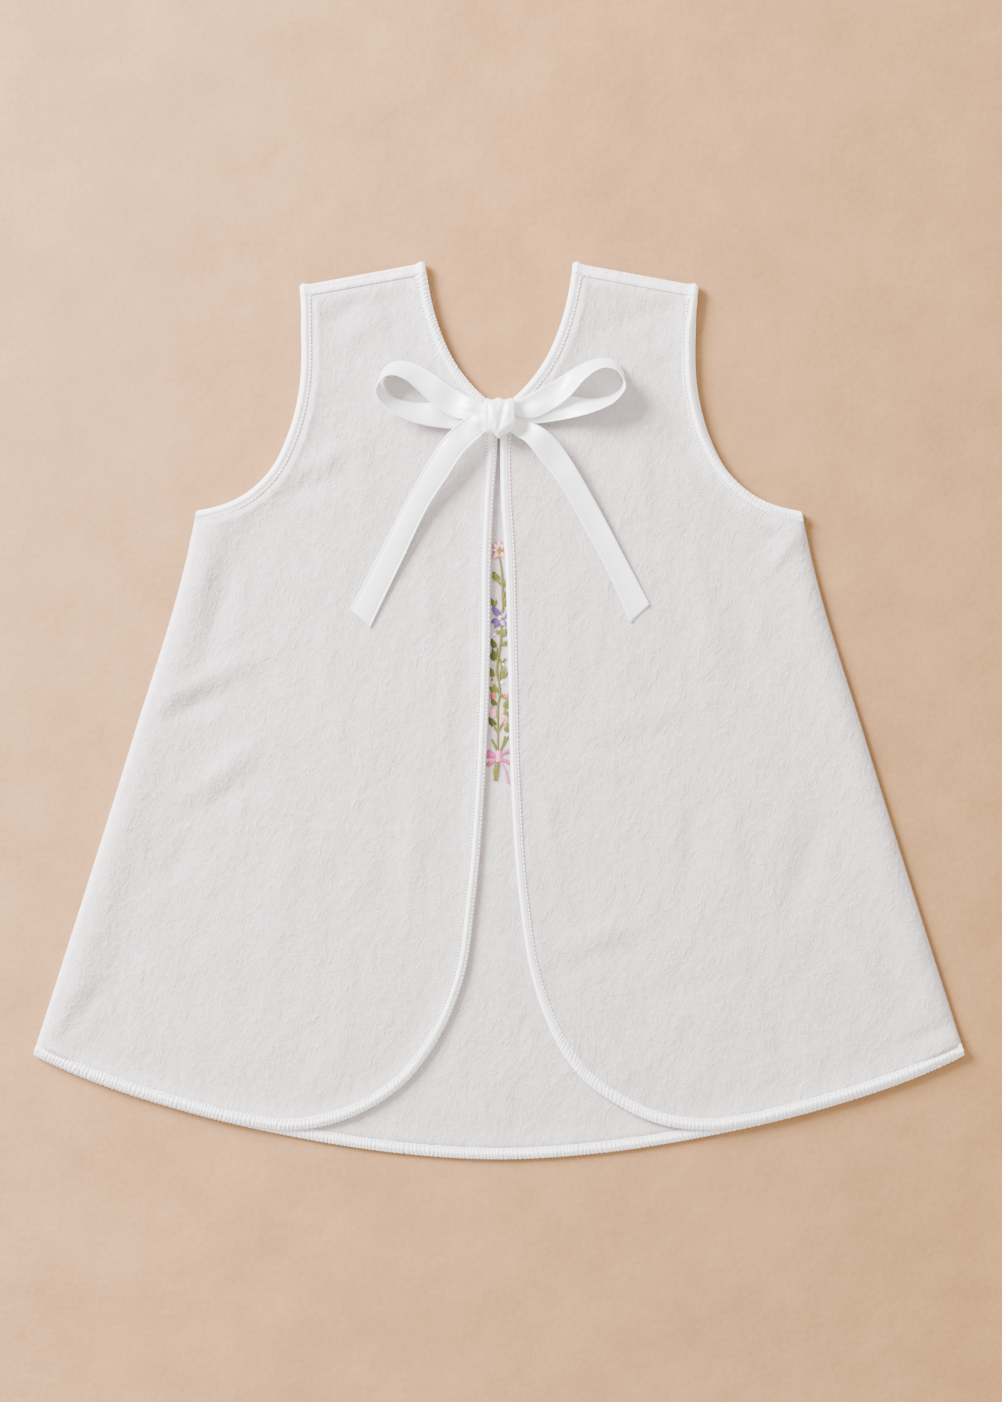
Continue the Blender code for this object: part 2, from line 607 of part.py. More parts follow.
def knot(surface):
    """The wrapped middle of the bow: rings around X, gathered along the wrap, with a fold
    that sags below the lower side."""
    bm = bmesh.new()
    rings = []
    for u in np.linspace(-1, 1, KNOT_STATIONS):
        end = KNOT_END + (1 - KNOT_END) * math.sqrt(max(0.0, 1 - abs(u) ** KNOT_ROUNDING))
        gather = KNOT_GATHER * math.cos(math.pi * KNOT_GATHERS * u)
        sag = KNOT_SAG * math.exp(-((u - KNOT_SAG_PLACE) / KNOT_SAG_REACH) ** 2)
        ring = []
        for a in np.linspace(0, 2 * math.pi, KNOT_AROUND, endpoint=False):
            along = (KNOT_HALF_LENGTH * end + gather) * math.cos(a)
            along -= sag * max(0.0, -math.cos(a)) ** 2
            up = (KNOT_HALF_HEIGHT * end + gather) * math.sin(a)
            ring.append(bm.verts.new((KNOT_MIDDLE[0] + u * KNOT_WIDTH / 2,
                                      KNOT_MIDDLE[1] + along, KNOT_MIDDLE[2] + up)))
        rings.append(ring)
    for ring, following in zip(rings, rings[1:]):
        for k in range(len(ring)):
            bm.faces.new((ring[k - 1], ring[k], following[k], following[k - 1]))
    bm.faces.new(rings[0])
    bm.faces.new(rings[-1])
    return add_object("bow_knot", bm, surface)


def build():
    """All pieces of the dress."""
    for leftover in list(bpy.data.objects):
        bpy.data.objects.remove(leftover)
    cloth = material("cotton", CLOTH_COLOUR, 0.9)
    bound = material("cotton_strip", STRIP_COLOUR, 0.85)
    satin = material("satin", SATIN_COLOUR, 0.35)
    front_panel(cloth)
    back_panel("back_left", -1, cloth)
    back_panel("back_right", 1, cloth)
    front_strips(bound)
    back_strips("left", -1, bound)
    back_strips("right", 1, bound)
    ribbon("bow_loop_left", LOOP_LEFT, satin)
    ribbon("bow_loop_right", LOOP_RIGHT, satin)
    ribbon("bow_tail_left", TAIL_LEFT, satin)
    ribbon("bow_tail_right", TAIL_RIGHT, satin)
    knot(satin)


build()
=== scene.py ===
# %% [markdown]
# # A baby's day dress, laid flat
#
# The dress lies on its front with the open back upward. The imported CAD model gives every
# piece its place; here each piece of cloth, strip, ribbon and stitch gets its looks.
# A flat-laid garment has no moving part, so every piece rides on the one body, root.

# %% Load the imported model
import math

import bmesh
import bpy
import numpy as np
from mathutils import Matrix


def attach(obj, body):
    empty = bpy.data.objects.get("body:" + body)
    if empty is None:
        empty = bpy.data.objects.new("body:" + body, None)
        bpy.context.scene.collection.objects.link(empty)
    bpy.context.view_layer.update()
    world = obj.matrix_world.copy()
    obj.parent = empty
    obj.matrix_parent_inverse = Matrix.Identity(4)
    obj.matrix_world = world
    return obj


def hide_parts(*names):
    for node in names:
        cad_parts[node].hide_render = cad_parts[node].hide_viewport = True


MM = 0.001
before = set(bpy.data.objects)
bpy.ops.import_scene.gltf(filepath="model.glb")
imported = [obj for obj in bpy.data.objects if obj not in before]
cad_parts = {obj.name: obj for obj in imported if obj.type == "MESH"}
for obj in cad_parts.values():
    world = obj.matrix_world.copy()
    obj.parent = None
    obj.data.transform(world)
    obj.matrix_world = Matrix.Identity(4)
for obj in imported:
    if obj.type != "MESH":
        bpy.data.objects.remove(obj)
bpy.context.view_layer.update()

# %% [markdown]
# The photograph looks straight down. Its scale at the floor comes from the ribbon, which
# is 10 mm wide. A long lens far above the dress keeps the edges upright, so the camera
# stands 1.36 m up and its field is set to the photograph's height.

# %% Camera
PIXEL = 0.41 * MM
PHOTO_HEIGHT = 1402
CAMERA_HEIGHT = 1.357
CAMERA_PLACE = (0.8 * MM, 3.9 * MM, CAMERA_HEIGHT)
SENSOR = 36.0

camera_data = bpy.data.cameras.new("camera")
camera_data.sensor_width = SENSOR
camera_data.lens = SENSOR * CAMERA_HEIGHT / (PHOTO_HEIGHT * PIXEL)
camera = bpy.data.objects.new("camera", camera_data)
camera.location = CAMERA_PLACE
bpy.context.scene.collection.objects.link(camera)
bpy.context.scene.camera = camera
print("lens, mm:", round(camera_data.lens, 1))

# %% [markdown]
# The light is a window-like soft light from the upper left, thirty degrees above the
# floor, and a bright even room. The low side light is what shows the cloth's shallow
# relief, and the room keeps its shadows pale.

# %% Lights
KEY_DIRECTION = np.array([-0.68, 0.52, 0.50])
KEY_DISTANCE = 1.7
KEY_SIZE = 0.72
KEY_POWER = 162.0
KEY_COLOUR = (0.985, 0.983, 1.015)
ROOM_COLOUR = (0.985, 0.966, 0.905, 1.0)
ROOM_STRENGTH = 1.66

key_data = bpy.data.lights.new("key", "AREA")
key_data.energy = KEY_POWER
key_data.size = KEY_SIZE
key_data.color = KEY_COLOUR
key = bpy.data.objects.new("key", key_data)
key.location = KEY_DIRECTION * KEY_DISTANCE
key.rotation_euler = (
    math.atan2(math.hypot(*KEY_DIRECTION[:2]), KEY_DIRECTION[2]),
    0,
    math.atan2(KEY_DIRECTION[0], -KEY_DIRECTION[1]),
)
bpy.context.scene.collection.objects.link(key)

room = bpy.data.worlds.new("room")
room.use_nodes = True
background = room.node_tree.nodes["Background"].inputs
background["Color"].default_value = ROOM_COLOUR
background["Strength"].default_value = ROOM_STRENGTH
bpy.context.scene.world = room

# %% [markdown]
# A finish is a small graph of shader nodes. Writing it as sums and products reads like
# the pattern that it makes, so a socket is wrapped in a class whose operators add the
# Math nodes, and one method adds any other node.

# %% Shader values that can be added and multiplied


class Socket:
    """The output of a node. Each operator adds a Math node, or a Vector Math node where
    this value or the other one is a vector."""

    def __init__(self, finish, link):
        self.finish, self.link = finish, link

    def math(self, operation, first, second):
        vector = self.link.type == "VECTOR"
        kind = "ShaderNodeVectorMath" if vector else "ShaderNodeMath"
        return self.finish.node(kind, {"operation": operation}, {0: first, 1: second})

    def __add__(self, other):
        return self.math("ADD", self, other)

    def __radd__(self, other):
        return self.math("ADD", other, self)

    def __sub__(self, other):
        return self.math("SUBTRACT", self, other)

    def __rsub__(self, other):
        return self.math("SUBTRACT", other, self)

    def __mul__(self, other):
        return self.math("MULTIPLY", self, other)

    def __rmul__(self, other):
        return self.math("MULTIPLY", other, self)

    def __truediv__(self, other):
        return self.math("DIVIDE", self, other)

    def __pow__(self, other):
        return self.math("POWER", self, other)

    def __abs__(self):
        return self.finish.node("ShaderNodeMath", {"operation": "ABSOLUTE"}, {0: self})

    def wave(self):
        return self.finish.node("ShaderNodeMath", {"operation": "SINE"}, {0: self})

    def clamped(self, low=0.0, high=1.0):
        return self.finish.node("ShaderNodeClamp", {}, {0: self, 1: low, 2: high})

    def axis(self, index):
        return self.finish.node("ShaderNodeSeparateXYZ", {}, {0: self}, out=index)


class Finish:
    """A material: its Principled shader with constants set on its own sockets, and the
    nodes that vary its colour, roughness and normal."""

    def __init__(self, name, **constants):
        self.material = bpy.data.materials.new(name)
        self.material.use_nodes = True
        self.tree = self.material.node_tree
        self.shader = self.tree.nodes["Principled BSDF"]
        for socket, value in constants.items():
            self.shader.inputs[socket.replace("_", " ")].default_value = value

    def node(self, kind, settings, inputs, out=0):
        made = self.tree.nodes.new(kind)
        for name, value in settings.items():
            setattr(made, name, value)
        for place, value in inputs.items():
            if isinstance(value, Socket):
                self.tree.links.new(value.link, made.inputs[place])
            else:
                made.inputs[place].default_value = value
        return Socket(self, made.outputs[out])

    def place(self):
        """The point's own place in metres."""
        return self.node("ShaderNodeTexCoord", {}, {}, out=3)

    def surface(self):
        """The two values that the mesh gives to each point."""
        return self.node("ShaderNodeTexCoord", {}, {}, out=2)

    def noise(self, where, scale, detail=2.0, roughness=0.5, colour=False):
        inputs = {"Vector": where, "Scale": scale, "Detail": detail, "Roughness": roughness}
        return self.node("ShaderNodeTexNoise", {}, inputs, out=1 if colour else 0)

    def shift(self, where, scale, amount):
        """The place moved by a slow random vector, so that lines on it wander."""
        random = self.noise(where, scale, detail=1.0, colour=True)
        moved = self.node("ShaderNodeVectorMath", {"operation": "SUBTRACT"},
                          {0: random, 1: (0.5, 0.5, 0.5)})
        return where + moved * (amount, amount, amount)

    def turned(self, where, angle):
        """The place turned about the upright axis."""
        return self.node("ShaderNodeMapping", {}, {0: where, 2: (0.0, 0.0, angle)})

    def ridges(self, where, scale, sharpness, detail=1.0):
        """Thin lines where the noise passes its middle value: 1 there, 0 away from it."""
        away = abs(self.noise(where, scale, detail) * 2.0 - 1.0)
        return (1.0 - away).clamped() ** sharpness

    def mix(self, factor, first, second):
        settings = {"data_type": "RGBA"}
        return self.node("ShaderNodeMix", settings, {0: factor, 6: first, 7: second}, out=2)

    def scaled(self, colour, factor):
        """A colour times a value."""
        return self.node("ShaderNodeVectorMath", {"operation": "SCALE"}, {0: colour, 3: factor})

    def feed(self, name, value):
        self.tree.links.new(value.link, self.shader.inputs[name])

    def bump(self, height):
        """Height in metres becomes the shader's normal."""
        inputs = {"Height": height, "Distance": 1.0, "Strength": 1.0}
        self.feed("Normal", self.node("ShaderNodeBump", {}, inputs))


def shade(colour, factor):
    """A colour made lighter or darker by a factor, with full opacity."""
    return (*(min(1.0, channel * factor) for channel in colour), 1.0)


# %% [markdown]
# The floor is a plain warm beige sheet with a felt-like mottle, and shade painted on it
# makes it a little darker to the right, as the light falls off. It is a stage, not a part
# of the dress, so it is one big plane under everything.

# %% Floor
FLOOR_HALF = 1.6
FLOOR_DROP = 0.1 * MM
FLOOR_NEAR = (0.408, 0.230, 0.118, 1.0)
# The second beige is painted shade, where the light falls off
FLOOR_FALLOFF_SHADE = (0.330, 0.171, 0.072, 1.0)

floor_mesh = bpy.data.meshes.new("floor")
corners = np.array([(-1, -1), (1, -1), (1, 1), (-1, 1)]) * FLOOR_HALF
floor_mesh.from_pydata([(x, y, -FLOOR_DROP) for x, y in corners], [], [(0, 1, 2, 3)])
floor = bpy.data.objects.new("floor", floor_mesh)
bpy.context.scene.collection.objects.link(floor)

felt = Finish("felt", Roughness=0.95, Specular_IOR_Level=0.1)
where = felt.place()
fibres = felt.noise(where, 500.0, 3.0)
mottle = felt.noise(where, 30.0, 5.0, 0.65) * 0.7 + fibres * 0.3
# Painted shade: darker towards the right and a little towards the bottom, as the light falls off
falloff_shade = (where.axis(0) * 1.7 + 0.5 - where.axis(1) * 0.1).clamped()
tone = felt.mix(falloff_shade, FLOOR_NEAR, FLOOR_FALLOFF_SHADE)
felt.feed("Base Color", felt.scaled(tone, 0.62 + mottle * 0.76))
felt.bump(fibres * 0.00012 + felt.noise(where, 90.0, 2.0) * 0.0004)
floor_mesh.materials.append(felt.material)

# %% [markdown]
# All edges of the dress come from a few short tables, the same that the CAD pieces are
# made from, in millimetres. A smooth curve runs through the points of each table, and an
# offset of that curve is the line where a strip ends and the cloth goes into it.

# %% Outline tables and curves
# Columns: x, y in millimetres, for the right half
NECK = ((30.3, 183.5), (29.1, 174.5), (25.2, 158.1), (17.8, 141.7), (7.6, 129.4), (0.0, 123.4))
ARMHOLE = ((81.6, 174.0), (80.6, 158.0), (81.6, 129.4), (85.9, 113.0), (94.0, 97.6),
           (106.5, 86.9), (116.0, 83.2), (123.7, 81.6))
SIDE = ((123.7, 81.6), (127.9, 61.7), (149.9, -12.1), (173.0, -85.9), (190.7, -141.2))
HEM = ((0.0, -183.6), (40.0, -181.2), (85.0, -174.2), (130.0, -163.7), (175.0, -148.4),
       (190.7, -141.2))
# Columns: y, then how far the left and the right edge lie from the middle
OPENING = ((122.2, 0.6, 0.3), (110.9, 0.7, 0.4), (86.3, 2.3, 0.9), (61.7, 3.4, 2.5),
           (28.9, 3.7, 3.6), (-28.5, 5.8, 4.9), (-77.7, 9.8, 8.4), (-110.5, 14.8, 13.8),
           (-126.9, 21.0, 19.3), (-139.2, 27.9, 25.4), (-151.5, 37.7, 35.0),
           (-159.7, 48.0, 46.0), (-168.0, 65.5, 62.5), (-171.5, 86.0, 84.0))
BACK_HEM_HALF_WIDTHS = (104.0, 130.0, 155.0, 175.0, 190.3)
BACK_HEM_RISE = {-1: 1.0 * MM, 1: 1.3 * MM}
ROUND_CORNER_Y = -148.0 * MM
STRIP_WIDTH = 4.6 * MM
STRIP_HALF_THICKNESS = 1.0 * MM
TUCK = 3.4 * MM
TURN_WEIGHT = 45.0 * MM


def smooth(points, step=0.5 * MM):
    """A smooth curve through the points: cubic pieces whose slope at each point is the
    chord-weighted mean of the chords on both sides."""
    points = np.asarray(points, float)
    chords = np.linalg.norm(np.diff(points[:, :3], axis=0), axis=1)
    slopes = np.diff(points, axis=0) / chords[:, None]
    before, after = chords[:-1, None], chords[1:, None]
    middle = (slopes[:-1] * after + slopes[1:] * before) / (before + after)
    start = 1.5 * slopes[0] - 0.5 * middle[0]
    end = 1.5 * slopes[-1] - 0.5 * middle[-1]
    tangents = np.vstack([start, middle, end])
    curve = [points[:1]]
    for k, chord in enumerate(chords):
        u = np.linspace(0, 1, max(2, math.ceil(chord / step)) + 1)[1:, None]
        curve.append(points[k] * (2 * u**3 - 3 * u**2 + 1)
                     + tangents[k] * chord * (u**3 - 2 * u**2 + u)
                     + points[k + 1] * (3 * u**2 - 2 * u**3)
                     + tangents[k + 1] * chord * (u**3 - u**2))
    return np.vstack(curve)


def lengths(curve):
    """The distance along the curve at each of its points."""
    steps = np.linalg.norm(np.diff(curve[:, :3], axis=0), axis=1)
    return np.concatenate([[0], np.cumsum(steps)])


def turning(curve):
    """The angle by which the curve has turned at each of its points."""
    chords = np.diff(curve[:, :3], axis=0)
    chords /= np.linalg.norm(chords, axis=1)[:, None]
    turns = np.arccos(np.clip(np.sum(chords[:-1] * chords[1:], axis=1), -1, 1))
    return np.concatenate([[0], np.cumsum(turns), [np.sum(turns)]])


def at(curve, measure, targets):
    """The curve's rows where a growing measure has the target values."""
    return np.column_stack([np.interp(targets, measure, column) for column in curve.T])


def along(curve, shares, turn_weight=TURN_WEIGHT):
    """Points at shares of the curve's length plus its weighted turning."""
    measure = lengths(curve) + turn_weight * turning(curve)
    return at(curve, measure, shares * measure[-1])


def offset(curve, distance):
    """A parallel of a plan curve on its left side."""
    chords = np.diff(curve, axis=0)
    chords /= np.linalg.norm(chords, axis=1)[:, None]
    normals = np.column_stack([-chords[:, 1], chords[:, 0]])
    before = np.vstack([normals[:1], normals])
    after = np.vstack([normals, normals[-1:]])
    mean = (before + after) / (1 + np.sum(before * after, axis=1))[:, None]
    return curve + distance * mean


def meet(curve, point, direction):
    """The curve cut or stretched at its end so that it stops on the line through point."""
    point, direction = np.asarray(point), np.asarray(direction)
    across = np.array([-direction[1], direction[0]])
    side = (curve - point) @ across
    beyond = np.nonzero(np.sign(side) != np.sign(side[0]))[0]
    kept = curve[:beyond[0]] if len(beyond) else curve[:-1]
    last = curve[len(kept)] - curve[len(kept) - 1]
    share = -((kept[-1] - point) @ across) / (last @ across)
    return np.vstack([kept, kept[-1] + share * last])


def mirrored(curve):
    """The curve or grid on the other side of the middle."""
    return curve * np.array([-1.0] + [1.0] * (curve.shape[-1] - 1))


def fall(distance, start, reach):
    """1 up to start, then a smooth fall to 0 over reach."""
    u = np.clip((np.asarray(distance) - start) / reach, 0, 1)
    return 1 - u * u * (3 - 2 * u)


def distance_to(lines, grid):
    """The distance in plan from each point of a grid to the nearest of some lines: each
    row of the grid at once against all the segments of the lines."""
    start = np.vstack([line[:-1, :2] for line in lines])
    run = np.vstack([np.diff(line[:, :2], axis=0) for line in lines])
    square = np.sum(run**2, axis=1)

    def of_row(row):
        away = row[:, None, :2] - start
        share = np.clip(np.sum(away * run, axis=2) / square, 0, 1)
        return np.min(np.linalg.norm(away - share[..., None] * run, axis=2), axis=1)

    return np.array([of_row(row) for row in grid])


def coarse(curve, keep=5):
    """Every fifth point of a curve and its last, for measuring distances."""
    return np.vstack([curve[:-1:keep], curve[-1:]])


neck_edge = smooth(np.array(NECK) * MM)
armhole_edge = smooth(np.array(ARMHOLE) * MM)
side_edge = smooth(np.array(SIDE) * MM)
whole_hem = smooth(np.vstack([mirrored(np.array(HEM))[:0:-1], HEM]) * MM)
hem_edge = whole_hem[whole_hem[:, 0] > -0.01 * MM]
hem_corner = side_edge[-1]
shoulder_inner, shoulder_outer = neck_edge[0], armhole_edge[0]
shoulder_along = shoulder_outer - shoulder_inner
shoulder_along /= np.linalg.norm(shoulder_along)
shoulder_out = np.array([-shoulder_along[1], shoulder_along[0]])
side_top_direction = side_edge[6] - side_edge[0]
side_end_direction = side_edge[-1] - side_edge[-7]
shoulder_edge = np.linspace(shoulder_inner, shoulder_outer, 12)
bound_edges = [coarse(edge) for edge in (neck_edge, armhole_edge, hem_edge)]
print("chest, mm:", round(2 * side_edge[0, 0] / MM), " hem, mm:", round(2 * hem_corner[0] / MM))


def cut_at_shoulder(curve, depth):
    """The part of a curve that lies deeper than this below the shoulder fold."""
    return meet(curve[::-1], shoulder_inner - depth * shoulder_out, shoulder_along)[::-1]


def at_depth(curve, depth):
    """The points of a curve, near the shoulder, at these depths below the fold."""
    upper = curve[:80]
    depths = (shoulder_inner - upper) @ shoulder_out
    return at(upper, depths, depth)


def back_outline(side):
    """Open edge of one back panel and its hem, from the neck corner to the side."""
    column = 2 if side > 0 else 1
    down = np.array([(row[column], row[0]) for row in OPENING]) * MM
    half_widths = np.array(BACK_HEM_HALF_WIDTHS) * MM
    heights = np.interp(half_widths, hem_edge[:, 0], hem_edge[:, 1]) + BACK_HEM_RISE[side]
    return smooth(np.vstack([down, np.column_stack([half_widths, heights])]))


# %% [markdown]
# Each piece is a grid of points: rows down the piece, columns across it. Quads over the
# grid make its mesh. A strip or a thread is a grid whose last column joins its first.

# %% Meshes from grids


def lattice(rows, columns, wrap):
    """Corner numbers of the quads over a grid of points."""
    index = np.arange(rows * columns).reshape(rows, columns)
    right = np.roll(index, -1, axis=1) if wrap else index[:, 1:]
    left = index if wrap else index[:, :-1]
    return np.stack([left[:-1], left[1:], right[1:], right[:-1]], axis=-1).reshape(-1, 4)


def closed_faces(rows, columns):
    """Quads round a tube of points, and one face over each of its ends."""
    quads = lattice(rows, columns, True).tolist()
    far_end = range(rows * columns - 1, (rows - 1) * columns - 1, -1)
    return quads + [list(range(columns)), list(far_end)]


def add_mesh(name, points, faces, finish, uv=None, merge=False):
    """A smooth-shaded object whose faces point outwards; uv gives two values to each
    point, which its finish reads."""
    mesh = bpy.data.meshes.new(name)
    mesh.from_pydata(points.reshape(-1, 3).tolist(), [], faces)
    if uv is not None:
        corners = np.zeros(len(mesh.loops), int)
        mesh.loops.foreach_get("vertex_index", corners)
        layer = mesh.uv_layers.new(name="cloth")
        layer.data.foreach_set("uv", uv.reshape(-1, 2)[corners].astype(np.float32).ravel())
    made = bpy.data.objects.new(name, mesh)
    bpy.context.scene.collection.objects.link(made)
    mesh.materials.append(finish.material)
    mesh.shade_smooth()
    if merge:
        merge_doubles(mesh)
    return made


def merge_doubles(mesh):
    """Points of touching grids become one, and the faces are turned outwards."""
    bm = bmesh.new()
    bm.from_mesh(mesh)
    bmesh.ops.remove_doubles(bm, verts=bm.verts, dist=0.002 * MM)
    bmesh.ops.recalc_face_normals(bm, faces=bm.faces)
    bm.to_mesh(mesh)
    bm.free()


def thicken(sheet, thickness):
    """Give a sheet its wall, half of it on each side of the grid."""
    wall = sheet.modifiers.new("wall", "SOLIDIFY")
    wall.thickness = thickness
    wall.offset = 0.0


def wear(piece, slot, *nodes):
    """The piece rides on the dress and stands for the CAD nodes that it covers. The slot is
    not used."""
    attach(piece, "root")
    if nodes:
        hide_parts(*nodes)
    return piece


# %% [markdown]
# Washed cotton lawn is matt and white, with a fine plain weave and a net of thin crinkles
# that ironing leaves. Most stand upright, and in patches they are curly. They are lines
# where a noise passes its middle, bent by a slower noise; the weave is two crossed waves.
# Shade is painted into the hollows and a highlight onto the swells and lines. Where cloth
# lies double it is whiter, and the mesh says by how much; along the side folds part of
# that whitening is a painted highlight.

# %% Cotton for the panels
# The cloth's own colour, the warm tint and factor of the shade painted in the hollows, the factor of the
# highlight painted on the crests, and the whitening of double cloth
COTTON_COLOUR = (0.524, 0.464, 0.472)
HOLLOW_SHADE_TINT = (0.94, 0.915, 0.90)
HOLLOW_SHADE, CREST_HIGHLIGHT, DOUBLE_AND_HIGHLIGHT_WHITE = 0.99, 1.12, 1.62
WEAVE_PITCH = 0.55 * MM
LEAN = 0.30
# Heights of the bump in metres
FINE_HEIGHT, WIDE_HEIGHT, SLOW_HEIGHT = 0.00021, 0.00009, 0.00135
WEAVE_HEIGHT, NAP_HEIGHT = 0.000014, 0.00005


def panel_finish():
    """The height is a sum of thin lines, wide lines, slow swells, weave and nap. The colour
    follows it, partly as random tone and partly as painted light: painted shade, warmer and
    darker, in the hollows, and a painted highlight on the swells and lines. It is whitest on
    double cloth and along the side folds, where part of the whitening is painted highlight."""
    made = Finish("cotton_panel", Roughness=0.92, Specular_IOR_Level=0.2, Sheen_Weight=0.12,
                  Sheen_Roughness=0.5)
    where = made.place()
    bent = made.turned(made.shift(made.shift(where, 22.0, 0.012), 190.0, 0.0030), LEAN)
    upright = made.ridges(bent * (1.0, 0.26, 1.0), 520.0, 9.0)
    curly = made.ridges(bent + (0.1, 0.4, 0.2), 430.0, 9.0)
    patches = (made.noise(where, 210.0, 1.0) * 4.0 - 1.5).clamped()
    lines = upright * (1.0 - patches * 0.75) + curly * (0.25 + patches * 0.75)
    fine = lines * (made.noise(where, 300.0, 1.0) * 3.0 - 0.9).clamped(0.2, 1.0)
    wide = made.ridges(bent * (0.9, 0.5, 1.0) + (0.3, 0.1, 0.0), 150.0, 6.0)
    slow = made.noise(bent * (1.0, 0.5, 1.0), 80.0, 3.0)
    turns = 2 * math.pi / WEAVE_PITCH
    weave = (where.axis(0) * turns).wave() * (where.axis(1) * turns).wave()
    nap = made.noise(where, 1500.0, 2.0)
    made.bump(fine * FINE_HEIGHT + wide * WIDE_HEIGHT + slow * SLOW_HEIGHT
              + weave * WEAVE_HEIGHT + nap * NAP_HEIGHT)
    # Painted light: lighter on the swells and lines, darker and warmer in the hollows
    tone = (slow * 0.6 + lines * 0.9).clamped()
    hollow = [channel * share for channel, share in zip(COTTON_COLOUR, HOLLOW_SHADE_TINT)]
    single = made.mix(tone, shade(hollow, HOLLOW_SHADE), shade(COTTON_COLOUR, CREST_HIGHLIGHT))
    # Whiter on double cloth, and on the side folds also a painted highlight, as the mesh gives it
    double_and_highlight = made.surface().axis(0).clamped()
    made.feed("Base Color", made.mix(double_and_highlight, single, shade(COTTON_COLOUR, DOUBLE_AND_HIGHLIGHT_WHITE)))
    return made


panel_cotton = panel_finish()

# %% [markdown]
# The cloth's larger relief is in its mesh. Soft ridges and troughs are placed one by one:
# a broad roll along each side seam, a few diagonal ones that start at it, small pinches
# at the underarms and the hem corners. Each is a bell-shaped ridge along a short line.
# A smooth random field of low height keeps the rest from being flat.

# %% Creases and puckers
# Columns: start x, y, end x, y, half width, height, all in millimetres
CREASES_LEFT = (
    (-110, 64, -119, 24, 5.0, -1.35), (-135, 6, -96, 23, 4.5, 1.50), (-139, -4, -110, 8, 4.0, -1.05),
    (-129, -36, -99, -14, 4.5, 1.35), (-120, -41, -100, -27, 3.5, -0.90), (-137, -70, -128, -55, 4.0, -1.05),
    (-150, -92, -136, -70, 5.0, 0.75), (-181, -136, -160, -112, 4.0, -1.05), (-34, -34, -38, -92, 4.0, 0.66),
    (-44, -40, -50, -80, 4.5, -0.54), (-36, -85, -46, -70, 4.0, -0.75), (-58, 118, -54, 80, 4.5, 0.60),
    (-70, 158, -56, 168, 3.5, -1.05), (-66, 150, -48, 160, 4.0, 0.75), (-46, 170, -42, 150, 3.0, -0.60),
    (-82, 98, -60, 108, 4.5, 0.90), (-88, 88, -64, 96, 4.0, -0.66), (-72, 30, -66, -12, 5.0, 0.54),
    (-86, -60, -94, -120, 5.5, 0.66), (-60, -110, -66, -150, 5.0, 0.60), (-120, -104, -104, -92, 5.0, 0.60),
    (-30, 60, -28, 20, 4.0, 0.60), (-20, 30, -22, -20, 3.5, 0.54), (-118, 74, -104, 60, 2.5, 0.75),
)
CREASES_RIGHT = (
    (119, -78, 134, -43, 6.0, -1.20), (108, -64, 122, -38, 4.5, 0.54), (36, -10, 84, 3, 5.5, 0.54),
    (36, -17, 80, -5, 5.0, -0.39), (27, -97, 63, -84, 5.0, 0.84), (30, -106, 58, -96, 4.0, -0.54),
    (79, -36, 78, -70, 4.0, -0.75), (92, -30, 96, -66, 4.5, 0.60), (60, -118, 92, -108, 5.0, -0.66),
    (124, 74, 108, 55, 2.6, 1.08), (118, 76, 104, 66, 2.2, -0.72), (188, -134, 176, -140, 2.5, 1.35),
    (184, -128, 170, -136, 2.5, -0.90), (56, 116, 60, 76, 4.5, 0.66), (66, 164, 46, 158, 4.0, -0.90),
    (70, 150, 54, 142, 4.5, 0.66), (82, 60, 88, 20, 5.0, 0.75), (96, 50, 104, 10, 4.5, -0.66),
    (26, 50, 30, 6, 4.0, 0.60), (18, -30, 24, -70, 3.5, 0.66), (140, -84, 156, -120, 5.0, 0.75),
    (110, -110, 120, -146, 5.0, -0.60), (44, -130, 54, -160, 4.5, 0.54), (74, 100, 86, 84, 3.5, 0.66),
)
CREASES_FRONT = (
    (-2, -60, 4, -120, 5.0, 0.54), (-14, -150, 16, -160, 5.0, 0.45), (-70, 30, -60, -80, 8.0, -0.90),
    (64, 20, 74, -90, 8.0, -0.90), (-110, -40, -130, -120, 9.0, -0.90), (112, -40, 134, -116, 9.0, -0.90),
    (-40, 120, -52, 60, 7.0, -0.75), (44, 118, 50, 50, 7.0, -0.75),
)


def ridge_sum(table, grid):
    """Sum of bell-shaped ridges: each falls off with the square of the distance from its
    line, and is lower towards its ends."""
    total = np.zeros(grid.shape[:-1])
    for x0, y0, x1, y1, width, height in np.array(table) * MM:
        run = np.array([x1 - x0, y1 - y0])
        away = grid[..., :2] - (x0, y0)
        share = np.clip(away @ run / (run @ run), 0, 1)
        distance = np.linalg.norm(away - share[..., None] * run, axis=-1)
        bell = np.exp(-(distance / width) ** 2)
        total += height * bell * (0.4 + 0.6 * np.sin(math.pi * share))
    return total


LATTICE = 61


def random_field(x, y, seed):
    """Smooth heights from -1 to 1: random values on a lattice of unit pitch, eased
    between the four nearest."""
    values = np.random.default_rng(seed).uniform(-1, 1, (LATTICE, LATTICE))
    i, j = np.floor(x).astype(int), np.floor(y).astype(int)
    u, v = x - i, y - j
    u, v = u * u * (3 - 2 * u), v * v * (3 - 2 * v)
    left, right, lower, upper = i % LATTICE, (i + 1) % LATTICE, j % LATTICE, (j + 1) % LATTICE
    low = values[left, lower] * (1 - u) + values[right, lower] * u
    high = values[left, upper] * (1 - u) + values[right, upper] * u
    return low * (1 - v) + high * v


def random_line(distance, pitch, seed):
    """Smooth heights from -1 to 1 along a line."""
    return random_field(distance / pitch, 0 * distance, seed)


